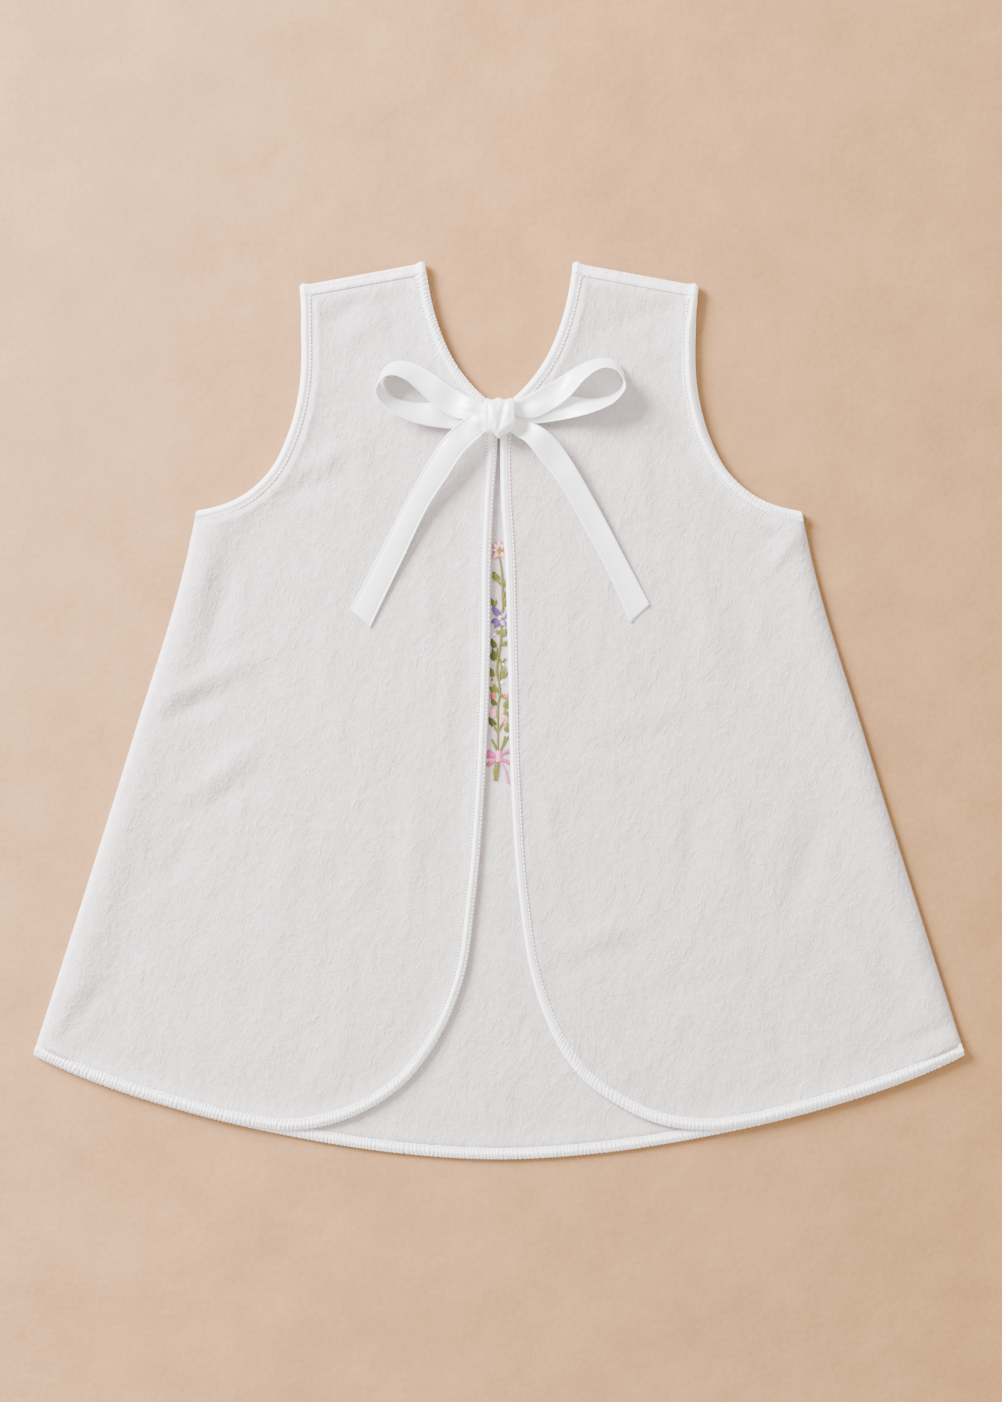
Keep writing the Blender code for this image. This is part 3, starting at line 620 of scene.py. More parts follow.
# Columns: height, width and length of the waves in millimetres
PUCKERS = ((0.16, 17, 34), (0.09, 7, 20), (0.05, 3.6, 9))


def puckers(grid, seed):
    """Low upright waves of three widths, in metres."""
    x, y = grid[..., 0] / MM, grid[..., 1] / MM
    lean = x + 4 * random_field(x / 30, y / 40, seed)
    return MM * sum(height * random_field(lean / width, y / length, seed + k)
                    for k, (height, width, length) in enumerate(PUCKERS, 1))


# %% [markdown]
# The bow is tied over the closed neck and presses the cloth under it nearly flat, so its
# ribbon's course is settled before the cloth. Each length of it lies between two edge
# lines, which the CAD ribbon follows too.

# %% Ribbon tables
# Columns: x, y, z of one edge, then of the other, in millimetres
RIBBON_EDGES = {
    "bow_loop_left": (
        (-5.6, 124.9, 7.7, -5.6, 119.7, 8.2), (-13.5, 128.5, 7.2, -16.4, 119.1, 7.8),
        (-21.5, 133.3, 6.4, -26.0, 124.2, 7.7), (-29.3, 138.6, 5.2, -33.3, 130.6, 9.4),
        (-36.3, 142.1, 4.3, -38.7, 134.9, 10.9), (-41.6, 142.7, 4.0, -43.2, 136.3, 11.8),
        (-45.8, 140.8, 3.9, -46.6, 135.4, 12.5), (-48.2, 137.3, 3.9, -49.2, 132.5, 12.8),
        (-48.6, 134.6, 3.9, -50.1, 129.8, 12.7), (-47.4, 132.0, 3.9, -48.9, 126.5, 12.3),
        (-45.0, 129.4, 3.9, -46.0, 123.2, 11.8), (-41.2, 127.4, 3.9, -41.4, 120.3, 11.0),
        (-36.4, 126.2, 3.9, -35.6, 117.9, 9.4), (-30.7, 125.7, 4.0, -29.2, 116.3, 7.4),
        (-24.1, 125.6, 4.6, -22.6, 115.5, 5.9), (-16.6, 124.5, 5.3, -16.0, 115.4, 5.5),
        (-5.6, 123.0, 5.6, -5.6, 116.8, 5.7)),
    "bow_loop_right": (
        (5.6, 126.1, 7.6, 5.6, 121.2, 8.4), (11.9, 128.9, 7.6, 13.9, 119.5, 8.4),
        (18.5, 132.6, 6.6, 22.3, 123.2, 8.2), (25.0, 136.5, 5.4, 29.1, 128.5, 9.8),
        (31.6, 140.4, 4.6, 34.9, 134.7, 12.0), (37.3, 143.1, 4.3, 39.4, 138.4, 13.0),
        (43.1, 144.2, 4.2, 43.9, 139.6, 13.2), (48.0, 142.5, 4.2, 48.2, 138.2, 13.3),
        (50.6, 139.2, 4.2, 50.6, 135.1, 13.4), (51.3, 135.4, 4.2, 51.5, 131.7, 13.5),
        (50.0, 131.4, 4.2, 50.0, 128.4, 13.6), (47.1, 129.1, 4.2, 47.1, 125.4, 13.5),
        (42.2, 127.6, 4.2, 43.1, 123.1, 13.1), (36.1, 127.3, 4.3, 36.9, 120.8, 11.9),
        (29.5, 128.3, 4.6, 30.3, 119.4, 8.6), (23.4, 127.9, 4.9, 23.8, 118.3, 6.6),
        (16.8, 126.6, 5.2, 16.8, 117.3, 6.0), (11.5, 125.2, 5.4, 11.5, 117.2, 5.8),
        (5.6, 123.3, 5.6, 5.6, 117.6, 5.8)),
    "bow_tail_left": (
        (-4.9, 123.1, 8.9, -4.9, 114.9, 8.7), (-11.9, 120.3, 9.8, -7.8, 111.5, 9.4),
        (-18.0, 115.6, 9.6, -11.5, 108.2, 9.6), (-23.6, 109.3, 9.2, -15.8, 103.3, 9.5),
        (-28.3, 102.1, 8.5, -20.1, 96.6, 8.8), (-35.7, 89.6, 6.6, -27.6, 85.5, 6.9),
        (-48.4, 65.4, 4.3, -40.0, 60.5, 4.5), (-60.8, 41.4, 3.5, -52.8, 34.0, 3.4)),
    "bow_tail_right": (
        (5.4, 120.6, 7.0, 3.9, 114.4, 7.2), (11.6, 118.3, 7.6, 7.0, 112.2, 8.4),
        (17.2, 115.4, 8.4, 10.9, 109.5, 8.8), (23.0, 110.6, 8.6, 15.6, 103.9, 9.0),
        (28.7, 103.1, 8.0, 20.9, 97.4, 8.4), (34.4, 93.7, 7.0, 26.4, 89.6, 7.3),
        (41.4, 81.4, 5.8, 33.6, 76.9, 6.0), (51.7, 61.9, 4.5, 43.5, 58.6, 4.6),
        (61.6, 43.3, 3.5, 53.8, 35.9, 3.4)),
}
ribbon_lines = [coarse(smooth((np.array(table)[:, :3] + np.array(table)[:, 3:]) / 2 * MM))
                for table in RIBBON_EDGES.values()]

# %% [markdown]
# A panel fills the space between its four edges. The grid is a Coons patch: two ruled
# grids, one down and one across, are added, and the one through the corners is taken
# away. Columns lie closer near both edges, where the cloth rolls over the side seam.

# %% Panel grids
BACK_LEVEL = 2.45 * MM
FRONT_LEVEL = 0.5 * MM
STRIP_LEVEL_FRONT = 1.5 * MM
STRIP_LEVEL_BACK = 3.5 * MM
STRIP_LEVEL_OPENING = 2.8 * MM
SHOULDER_SEAM = 5.0 * MM
FOLD_RADIUS = (STRIP_LEVEL_BACK - STRIP_LEVEL_FRONT) / 2
FOLD_CENTRE = FOLD_RADIUS + 0.5 * MM
SEAM_LAP = 0.8 * MM
SIDE_SEAM_LEVEL = 1.5 * MM
SEAM_GAP = 0.28 * MM
EDGE_ROLL = 2.2 * MM
WALL = 0.5 * MM
NECK_SHARE, ARMHOLE_SHARE = 0.25, 0.41
BACK_GATHER, FRONT_GATHER = 0.72, 0.6


def coons(top, bottom, inner, outer, u, v):
    """A grid over four edges, given at the column shares u and the row shares v."""
    u, v = u[None, :, None], v[:, None, None]
    down = (1 - v) * top[None] + v * bottom[None]
    across = (1 - u) * inner[:, None] + u * outer[:, None]
    corners = ((1 - v) * ((1 - u) * top[0] + u * top[-1])
               + v * ((1 - u) * bottom[0] + u * bottom[-1]))
    return down + across - corners


def shares(cells, gather=0.0):
    """Shares from 0 to 1, closer together near both ends by the gather."""
    u = np.linspace(0, 1, cells + 1)
    return (1 - gather) * u + gather * (1 - np.cos(math.pi * u)) / 2


def joined(first, second, rows, first_share):
    """Points down two edges that follow each other."""
    upper = round(rows * first_share)
    return np.vstack([along(first, shares(upper)), along(second, shares(rows - upper))[1:]])


def outer_edges():
    """Armhole, tucked into its strip, and the side below it."""
    armhole = meet(offset(armhole_edge, -TUCK), side_edge[0], side_top_direction)
    return armhole, np.vstack([armhole[-1:], side_edge[side_edge[:, 1] < armhole[-1, 1] - 0.5 * MM]])


def stop_side(below, corner):
    """The side edge, stopped at the lower corner of the panel."""
    return np.vstack([below[below[:, 1] > corner[1] + 0.5 * MM], corner])


def back_grid(side, rows, cells):
    """Plan of one back panel as if it were the right one, from seam to hem."""
    outline = back_outline(side)
    down = offset(outline, TUCK)
    neck = meet(offset(neck_edge, TUCK), down[0], down[1] - down[0])
    neck = cut_at_shoulder(neck, SHOULDER_SEAM - SEAM_LAP)
    down = np.vstack([neck[-1:], down[down[:, 1] < neck[-1, 1] - 0.5 * MM]])
    down = meet(down, hem_corner, side_end_direction)
    turn = int(np.argmax(down[:, 1] < ROUND_CORNER_Y))
    armhole, below = outer_edges()
    armhole = cut_at_shoulder(armhole, SHOULDER_SEAM - SEAM_LAP)
    u, v = shares(cells, BACK_GATHER), shares(rows)
    inner = joined(neck, down[:turn + 1], rows, NECK_SHARE)
    outer = joined(armhole, stop_side(below, down[-1]), rows, ARMHOLE_SHARE)
    top = inner[0] + u[:, None] * (outer[0] - inner[0])
    return coons(top, along(down[turn:], u), inner, outer, u, v), outline


def edge_drop(distance, level):
    """Quarter of an ellipse: how far a panel has gone from its own level towards the
    side seam's, 1 on the seam and 0 from the roll's width inwards."""
    u = np.clip(distance / EDGE_ROLL, 0, 1)
    return (1 - np.sqrt(1 - (1 - u) ** 2)) * (level - SIDE_SEAM_LEVEL)


def side_roll(distance, crest, height, power):
    """A broad roll beside the side seam, highest at the crest."""
    u = distance / crest
    return height * (u * np.exp(1 - u)) ** power


# For the left and the right back: creases, seed of the puckers, the roll beside the side
# seam (place of its crest, height, power), and the edge along which the cloth is puffed
PANEL_STYLES = {
    -1: (CREASES_LEFT, 37, (7.5 * MM, 2.0 * MM, 2.4), armhole_edge),
    1: (CREASES_RIGHT, 11, (6.5 * MM, 1.9 * MM, 1.3), neck_edge),
}
# Whitening of the side folds: double cloth, plus a painted highlight that makes the left fold, which faces
# the light, much whiter
RIM_WHITE_AND_HIGHLIGHT = {-1: 0.75, 1: 0.10}
ALLOWANCE_SHARE = 0.30
GATHER_HEIGHT, GATHER_PITCH, GATHER_LENGTH = 0.16 * MM, 2.6 * MM, 20 * MM
PUFF_HEIGHT, PUFF_PLACE, PUFF_HALF_WIDTH = 0.45 * MM, 6.6 * MM, 1.5 * MM
SHOULDER_SINK = 0.42 * MM


def rim(side, to_side):
    """How white the side's fold is: cloth lies double there, and a painted highlight adds
    to it, most on the left fold, which faces the light.
    """
    return RIM_WHITE_AND_HIGHLIGHT[side] * fall(to_side, 0.4 * MM, 3.0 * MM)


def back_heights(flat, outline, side):
    """Height of the middle of a back panel's cloth: its own level, raised to the strips
    along the edges, with creases, gathers by the strips and a roll by the side seam. The
    second grid says how far an allowance lies under each point and how white the side fold
    is, where the whitening is partly a painted highlight."""
    creases, seed, roll, puffed_edge = PANEL_STYLES[side]
    here = flat if side > 0 else mirrored(flat)
    to_bound = distance_to(bound_edges + [shoulder_edge], flat)
    to_opening = distance_to([coarse(outline)], flat)
    to_side = distance_to([coarse(side_edge)], flat)
    near = np.minimum(to_bound, to_opening)
    raised = fall(to_bound, 4.2 * MM, 11 * MM)
    opened = fall(to_opening, 4.2 * MM, 8 * MM) * (1 - raised)
    level = BACK_LEVEL + (STRIP_LEVEL_BACK - BACK_LEVEL) * raised
    level += (STRIP_LEVEL_OPENING - BACK_LEVEL) * opened
    still = 1 - fall(near, 4.0 * MM, 8.0 * MM)
    still *= 1 - 0.8 * fall(distance_to(ribbon_lines, here), 6 * MM, 7 * MM)
    level += still * (ridge_sum(creases, here) + puckers(here, seed))
    gathers = random_field(here[..., 0] / GATHER_PITCH, here[..., 1] / GATHER_LENGTH, 5)
    gathers *= fall(near, 4.6 * MM, 7 * MM) * (1 - fall(near, 3.6 * MM, 1.4 * MM))
    level += GATHER_HEIGHT * gathers
    puffed = distance_to([coarse(puffed_edge)], flat)
    level += PUFF_HEIGHT * np.exp(-((puffed - PUFF_PLACE) / PUFF_HALF_WIDTH) ** 2)
    level += side_roll(to_side, *roll) * (1 - 0.7 * fall(to_bound, 4 * MM, 9 * MM))
    seamed = fall((shoulder_inner - flat) @ shoulder_out, SHOULDER_SEAM + 0.3 * MM, 2.2 * MM)
    level += seamed * (STRIP_LEVEL_BACK - SHOULDER_SINK - level)
    allowance = ALLOWANCE_SHARE * fall(to_bound if side > 0 else near, 6 * MM, 4.5 * MM)
    return level - edge_drop(to_side, level - SEAM_GAP), np.maximum(rim(side, to_side), allowance)


def cloth(name, grids, double_and_highlight):
    """A thin sheet of cloth over one or more grids; the second list gives the share, 0 to 1,
    by which each point is whiter where a seam allowance lies under it and along the side
    folds, where the whitening is partly a painted highlight."""
    points, faces, start = [], [], 0
    for grid in grids:
        points.append(grid.reshape(-1, 3))
        faces += (lattice(*grid.shape[:2], False) + start).tolist()
        start += len(points[-1])
    uv = np.column_stack([np.concatenate([share.ravel() for share in double_and_highlight]), np.zeros(start)])
    made = add_mesh(name, np.vstack(points), faces, panel_cotton, uv=uv, merge=True)
    thicken(made, WALL)
    return wear(made, "cotton", name)


# %% [markdown]
# The two backs have the same cut, mirrored. Each lies in its own way, with its own
# creases and its own roll beside the side seam.

# %% Back panels
BACK_ROWS, BACK_CELLS = 196, 104


def back_panel(name, side):
    """A grid in plan with the height of the cloth at each of its points."""
    flat, outline = back_grid(side, BACK_ROWS, BACK_CELLS)
    heights, double_and_highlight = back_heights(flat, outline, side)
    grid = np.dstack([flat if side > 0 else mirrored(flat), heights])
    print(name, "heights, mm:", round(heights.min() / MM, 2), "to", round(heights.max() / MM, 2))
    return cloth(name, [grid], [double_and_highlight])


back_left = back_panel("back_left", -1)
back_right = back_panel("back_right", 1)

# %% [markdown]
# The front is one panel. Near the shoulders it turns over the fold and ends on the upper
# side, in a seam 5 mm below it. At the sides it rolls up to meet the back, so that both
# look like one rounded fold.

# %% Front panel
FRONT_ROWS, FRONT_CELLS = 150, 74
SEAM_ROWS, FOLD_TURNS = 6, 10
SEAM_SINK, SEAM_RISE = 0.08 * MM, 0.34 * MM
DEEPEST_TROUGH = -0.2 * MM
FRONT_SEED = 71


def fold_rail():
    """Depth below the shoulder line, height and turn, from the seam over the fold."""
    turns = np.linspace(math.pi, 0, FOLD_TURNS + 1)
    depth = FOLD_CENTRE - FOLD_RADIUS * np.sin(turns)
    height = STRIP_LEVEL_FRONT + FOLD_RADIUS * (1 - np.cos(turns))
    top = np.linspace(SHOULDER_SEAM, FOLD_CENTRE, SEAM_ROWS + 1)[:-1]
    from_seam = np.clip((SHOULDER_SEAM - top) / (2.6 * MM), 0, 1)
    level = STRIP_LEVEL_BACK - SEAM_SINK + SEAM_RISE * np.sin(math.pi * from_seam)
    return (np.concatenate([top, depth]), np.concatenate([level, height]),
            np.concatenate([np.full(SEAM_ROWS, math.pi), turns]))


def front_panel():
    """Two halves that meet in the middle. Each is a Coons patch, with the rows of the
    turned shoulder before its first row."""
    neck = meet(offset(neck_edge, TUCK), (0, 0), (0, 1))
    armhole, below = outer_edges()
    hem = meet(offset(hem_edge, TUCK), hem_corner, side_end_direction)
    depth, height, _ = fold_rail()
    u, v = shares(FRONT_CELLS, FRONT_GATHER), shares(FRONT_ROWS)
    ends = at_depth(neck, depth)[:, None], at_depth(armhole, depth)[:, None]
    folded = (1 - u[None, :, None]) * ends[0] + u[None, :, None] * ends[1]
    folded = np.dstack([folded, np.repeat(height[:, None], len(u), axis=1)])
    neck, armhole = cut_at_shoulder(neck, FOLD_CENTRE), cut_at_shoulder(armhole, FOLD_CENTRE)
    middle = np.linspace(neck[-1], (0, hem[0, 1]), 300)
    inner = joined(neck, middle, FRONT_ROWS, NECK_SHARE)
    outer = joined(armhole, stop_side(below, hem[-1]), FRONT_ROWS, ARMHOLE_SHARE)
    top = inner[0] + u[:, None] * (outer[0] - inner[0])
    flat = coons(top, along(hem, u), inner, outer, u, v)
    to_bound = distance_to(bound_edges + [shoulder_edge], flat)
    to_side = distance_to([coarse(side_edge)], flat)
    still = (1 - fall(to_bound, 4 * MM, 8 * MM)) * (1 - fall(to_side, 3 * MM, 6 * MM))
    raised = fall(to_bound, 4.2 * MM, 8 * MM)
    seam_allowance = fall(np.arange(len(height) - 1), 8, 6)[:, None] + 0 * u
    halves, double_and_highlight = [], []
    for side, here, over in ((1, flat, folded), (-1, mirrored(flat), mirrored(folded))):
        relief = np.maximum(ridge_sum(CREASES_FRONT, here) + puckers(here, FRONT_SEED), DEEPEST_TROUGH)
        level = FRONT_LEVEL + (STRIP_LEVEL_FRONT - FRONT_LEVEL) * raised + 0.6 * relief * still
        level -= edge_drop(to_side, level + SEAM_GAP)
        halves.append(np.concatenate([over[:-1], np.dstack([here, level])]))
        # Whitening by the shoulder's seam allowance, and by the side fold, which is partly painted highlight
        double_and_highlight.append(np.concatenate([seam_allowance, rim(side, to_side)]))
    return cloth("front", halves, double_and_highlight)


front = front_panel()

# %% [markdown]
# A strip is cloth folded over the edge and sewn through. It is a closed profile carried
# along a rail: at each station the rail gives the outer edge, the inner edge and the
# direction of the thickness. The profile is a round tube over the folded edge and a low
# flange that carries the stitches. Shade is painted near the inner edge as a thin dark line,
# on some strips into the hollow between tube and flange as a darker ditch, and into the
# valleys between threads. Where the edge is overlocked, threads lie side by side across
# the strip: the profile grows by a half circle for each thread, and both edges follow it.
# The mesh carries the share of light that reaches each point, so that the finish can
# paint shade into the valleys.

# %% Strips
SECTION = np.array([0, 0.012, 0.04, 0.08, 0.13, 0.19, 0.25, 0.31, 0.38, 0.45, 0.52, 0.59, 0.65,
                    0.70, 0.74, 0.78, 0.82, 0.87, 0.92, 0.96, 0.985, 1.0])
TUBE = (0.0, 0.75)
BAND = (0.0, 0.86)
ROUNDNESS = 1.4
FULLNESS = 1.12
# Place, half width and strength of a thin line of shade painted near the inner edge, where the shape has no
# groove
GROOVE, GROOVE_HALF_WIDTH, GROOVE_SHADE = 0.92, 0.045, 0.45
# Half width of the shade painted in the hollow beside the tube
DITCH_HALF_WIDTH = 0.11
PLAIN_STEP, RIBBED_STEP = 0.7 * MM, 0.305 * MM


def tube_and_flange(u, tube):
    """Half thickness over the width: a round tube between two shares of the width, and a
    low flange that carries the stitches and slopes down to both edges."""
    middle, half = (tube[0] + tube[1]) / 2, (tube[1] - tube[0]) / 2
    round_part = np.clip(1 - np.abs((u - middle) / half) ** ROUNDNESS, 0, 1) ** (1 / ROUNDNESS)
    flange = np.minimum(0.22 + 1.15 * np.clip(0.96 - u, 0, 0.5), 0.12 + 1.3 * u)
    flange = flange * np.sqrt(np.clip(1 - np.abs(2 * u - 1) ** 12, 0, 1))
    return np.maximum(round_part, flange)


def rail(outer, inner, height, turn=None, away=None):
    """Stations of a strip as rows: outer point, inner point, direction of thickness."""
    count = len(outer)
    turn = np.zeros(count) if turn is None else turn
    away = np.zeros((count, 2)) if away is None else away
    up = np.column_stack([np.sin(turn)[:, None] * away, -np.cos(turn)])
    height = np.broadcast_to(height, count)
    return np.column_stack([outer, height, inner, height, up])


def spaced(stations, step):
    """The rail with stations at even steps along its middle line, and their distances."""
    middle = (stations[:, :3] + stations[:, 3:6]) / 2
    measure = lengths(middle)
    targets = np.linspace(0, measure[-1], max(4, round(measure[-1] / step)) + 1)
    return at(stations, measure, targets), targets


def rounded(distance, length, ends, reach=1.3 * MM):
    """How full the profile is: 1, and less towards the ends that are rounded off."""
    full = np.ones(len(distance))
    for wanted, away in zip(ends, (distance, length - distance)):
        if wanted:
            u = np.clip(away / reach, 0, 1)
            full *= 0.72 + 0.28 * np.sqrt(1 - (1 - u) ** 2)
    return full


def threads(distance, pitch, slant, seed):
    """Half circles side by side, one for each thread, uneven in width and place."""
    s, u = distance[:, None], SECTION[None, :]
    slow = 0.9 * random_line(s, 9 * MM, seed)
    quick = 0.34 * random_field(s / (2.3 * MM), 2 * u, seed + 1)
    phase = s / pitch + slant * u + slow + quick
    return np.sqrt(np.clip(1 - (2 * (phase - np.floor(phase)) - 1) ** 2, 0, 1))


def strip(name, stations, ribs=0.0, pitch=1.5 * MM, slant=0.3, where=None, tube=TUBE,
          band=BAND, valley=1.0, ditch_shade=(0.6, 0.0), ends=(False, False), seed=3):
    """A closed strip along its rail. Ribs is the height of its threads and pitch their
    spacing. Where is a function that gives their share, 0 to 1, for a station's distance
    and rail. Tube and band are the round part without and with threads, valley scales the
    shade painted between threads, the ditch pair is the place and strength of the shade
    painted in the hollow beside the tube, and ends says which ends are rounded off."""
    stations, distance = spaced(stations, RIBBED_STEP if ribs else PLAIN_STEP)
    outer, inner, up = stations[:, None, :3], stations[:, None, 3:6], stations[:, None, 6:]
    share = np.zeros((len(distance), 1))
    if ribs:
        share[:, 0] = 1 if where is None else where(distance, stations)
    rib = threads(distance, pitch, slant, seed) * share
    full = rounded(distance, distance[-1], ends)[:, None]
    u = SECTION[None, :]
    plain = tube_and_flange(u, tube)
    shape = plain + (tube_and_flange(u, band) - plain) * share
    worn = 1 + 0.06 * random_line(distance, 5 * MM, seed + 5)[:, None]
    thick = STRIP_HALF_THICKNESS * shape * full * worn + ribs * (rib - 0.7 * share) * shape
    taper = rounded(distance, distance[-1], ends, 4.0 * MM)[:, None]
    spread = (0.5 + (u - 0.5) * (0.5 + 0.5 * full)) * (0.55 + 0.45 * taper)
    edge = (rib - 0.5 * share) * ribs / STRIP_WIDTH
    spread = spread + edge * ((u > 0.7) * (u < 0.92) * 1.6 - (u < 0.1) * 0.8)
    line = outer + spread[..., None] * (inner - outer)
    high = FULLNESS * thick[..., None] * up
    above, below = line + high, line - high
    grid = np.concatenate([above, below[:, -2:0:-1]], axis=1)
    # Painted shade: the line near the inner edge, the ditch, the valleys between threads and their inner end
    # darken the colour
    painted_groove = GROOVE_SHADE * np.exp(-((u - GROOVE) / GROOVE_HALF_WIDTH) ** 2)
    hollow = ditch_shade[1] * np.exp(-((u - ditch_shade[0]) / DITCH_HALF_WIDTH) ** 2)
    inner_end = 0.35 * share * np.clip((u - 0.6) / 0.4, 0, 1)
    between = valley * ((share - rib) ** 2 * (1.2 + 0.8 * u) + inner_end)
    light = 1 - between - (painted_groove + hollow) * (1 - share)
    light = np.concatenate([light, light[:, -2:0:-1]], axis=1)
    uv = np.dstack([light, np.broadcast_to(distance[:, None] / MM, light.shape)])
    made = add_mesh(name, grid, closed_faces(*grid.shape[:2]), strip_cotton, uv=uv)
    return wear(made, "binding", name)


def over_fold(outer, inner, cells):
    """Rail of a front strip, from the shoulder seam over the fold and down."""
    depth, height, turn = fold_rail()
    flat_outer = along(cut_at_shoulder(outer, FOLD_CENTRE), shares(cells))[1:]
    flat_inner = along(cut_at_shoulder(inner, FOLD_CENTRE), shares(cells))[1:]
    height = np.concatenate([height, np.full(cells, STRIP_LEVEL_FRONT)])
    turn = np.concatenate([turn, np.zeros(cells)])
    away = np.tile(shoulder_out, (len(height), 1))
    return rail(np.vstack([at_depth(outer, depth), flat_outer]),
                np.vstack([at_depth(inner, depth), flat_inner]), height, turn, away)


def flipped(stations):
    """The rail on the other side of the middle."""
    return stations * np.tile([-1.0, 1.0, 1.0], 3)


# %% [markdown]
# Strips and threads are whiter and a little glossier than the panels. Their fibres are a
# fine noise. On strips shade is painted: the colour goes towards a warm grey in the valleys
# and ditches, where little light reaches.

# %% Cotton for the strips and threads
STRIP_COLOUR = (0.935, 0.895, 0.905)
THREAD_COLOUR = (0.955, 0.915, 0.925)
# Painted shade: the warm grey that strips go towards where little light reaches
VALLEY_SHADE_COLOUR = (0.31, 0.265, 0.245, 1.0)
# Colour of the short dark threads between stitches, which paint the shade of the gaps
GAP_SHADE_COLOUR = (0.36, 0.30, 0.27)


def yarn(name, colour, roughness=0.75, fibres=0.00006, valley_shade=False):
    """Cotton thread: fine fibres on a soft unevenness, which also varies the colour. With
    valley shade, shade is painted: the colour goes towards the valley shade colour by how
    much the mesh's light falls short."""
    made = Finish(name, Roughness=roughness, Specular_IOR_Level=0.3, Sheen_Weight=0.15,
                  Sheen_Roughness=0.45)
    where = made.place()
    fibre = made.noise(where, 1800.0, 2.0)
    soft = made.noise(where, 240.0, 2.0)
    made.bump(fibre * fibres + soft * 0.00025)
    tone = made.mix(soft, shade(colour, 0.94), shade(colour, 1.04))
    if valley_shade:
        depth = (1.0 - made.surface().axis(0)).clamped(0.0, 2.0)
        tone = made.mix(depth * 0.55, tone, VALLEY_SHADE_COLOUR)
    made.feed("Base Color", tone)
    made.feed("Roughness", (roughness - 0.08) + fibre * 0.16)
    return made


strip_cotton = yarn("cotton_strip", STRIP_COLOUR, valley_shade=True)
sewing_thread = yarn("sewing_thread", THREAD_COLOUR, 0.6)
# Painted shade for the gaps between stitches
needle_hole = yarn("needle_hole", GAP_SHADE_COLOUR, 0.9)

# %% [markdown]
# The front's neck and armhole strips turn over the shoulder with the cloth and end in its
# seam. Most of their length is hidden under the backs. Its hem is overlocked and shows
# where the backs leave it free.

# %% Strips of the front
neck_inner = meet(offset(neck_edge, STRIP_WIDTH), (0, 0), (0, 1))
neck_rail = over_fold(neck_edge, neck_inner, 160)
neck_rail = np.vstack([neck_rail, flipped(neck_rail)[-2::-1]])
front_neck_strip = strip("front_neck_strip", neck_rail)

armhole_inner = meet(offset(armhole_edge, -STRIP_WIDTH), side_edge[0], side_top_direction)
armhole_rail = over_fold(armhole_edge, armhole_inner, 200)
front_armholes = [
    strip("front_right_armhole_strip", armhole_rail, ends=(False, True)),
    strip("front_left_armhole_strip", flipped(armhole_rail), ends=(False, True))]

hem_inner = meet(offset(hem_edge, STRIP_WIDTH), hem_corner, side_end_direction)
half_hem = rail(along(hem_edge, shares(300)), along(hem_inner, shares(300)), STRIP_LEVEL_FRONT)
hem_rail = np.vstack([flipped(half_hem)[::-1], half_hem[1:]])


def away_from_sides(distance, stations):
    """Threads fade out over the last millimetres before both side corners."""
    return 1 - fall(hem_corner[0] - np.abs(stations[:, 0]), 1.5 * MM, 3 * MM)


front_hem_strip = strip("front_hem_strip", hem_rail, ribs=0.60 * MM, pitch=1.52 * MM,
                        where=away_from_sides, ends=(True, True))
print("strips of the front:", 2 + len(front_armholes))

# %% [markdown]
# Each back has three strips: at the neck, round the armhole, and down the open edge,
# round the corner and along the hem. No two of the six look alike, so a table gives each
# its own threads, tube and painted ditch shade.

# %% Strips of the back
ARMHOLE_SHIFT = {-1: -0.40 * MM, 1: 1.15 * MM}
EDGE_WIDTH = {-1: 0.95, 1: 0.87}


def shifted(stations, distance):
    """An armhole's rail moved inwards by a distance, not at the shoulder and less at the
    underarm."""
    y = stations[:, 1]
    share = (1 - fall(-y, -166 * MM, 12 * MM)) * (1 - 0.8 * fall(y, 92 * MM, 24 * MM))
    across = stations[:, 3:6] - stations[:, :3]
    move = (share * distance / STRIP_WIDTH)[:, None] * across
    moved = stations.copy()
    moved[:, :3] += move
    moved[:, 3:6] += move
    return moved


def narrowed(stations, width):
    """An open edge's rail made narrower below the bow: its inner edge comes outwards."""
    y = stations[:, 1]
    share = fall(y, 30 * MM, 45 * MM) * fall(-y, 100 * MM, 40 * MM)
    moved = stations.copy()
    moved[:, 3:6] -= ((1 - width) * share)[:, None] * (stations[:, 3:6] - stations[:, :3])
    return moved


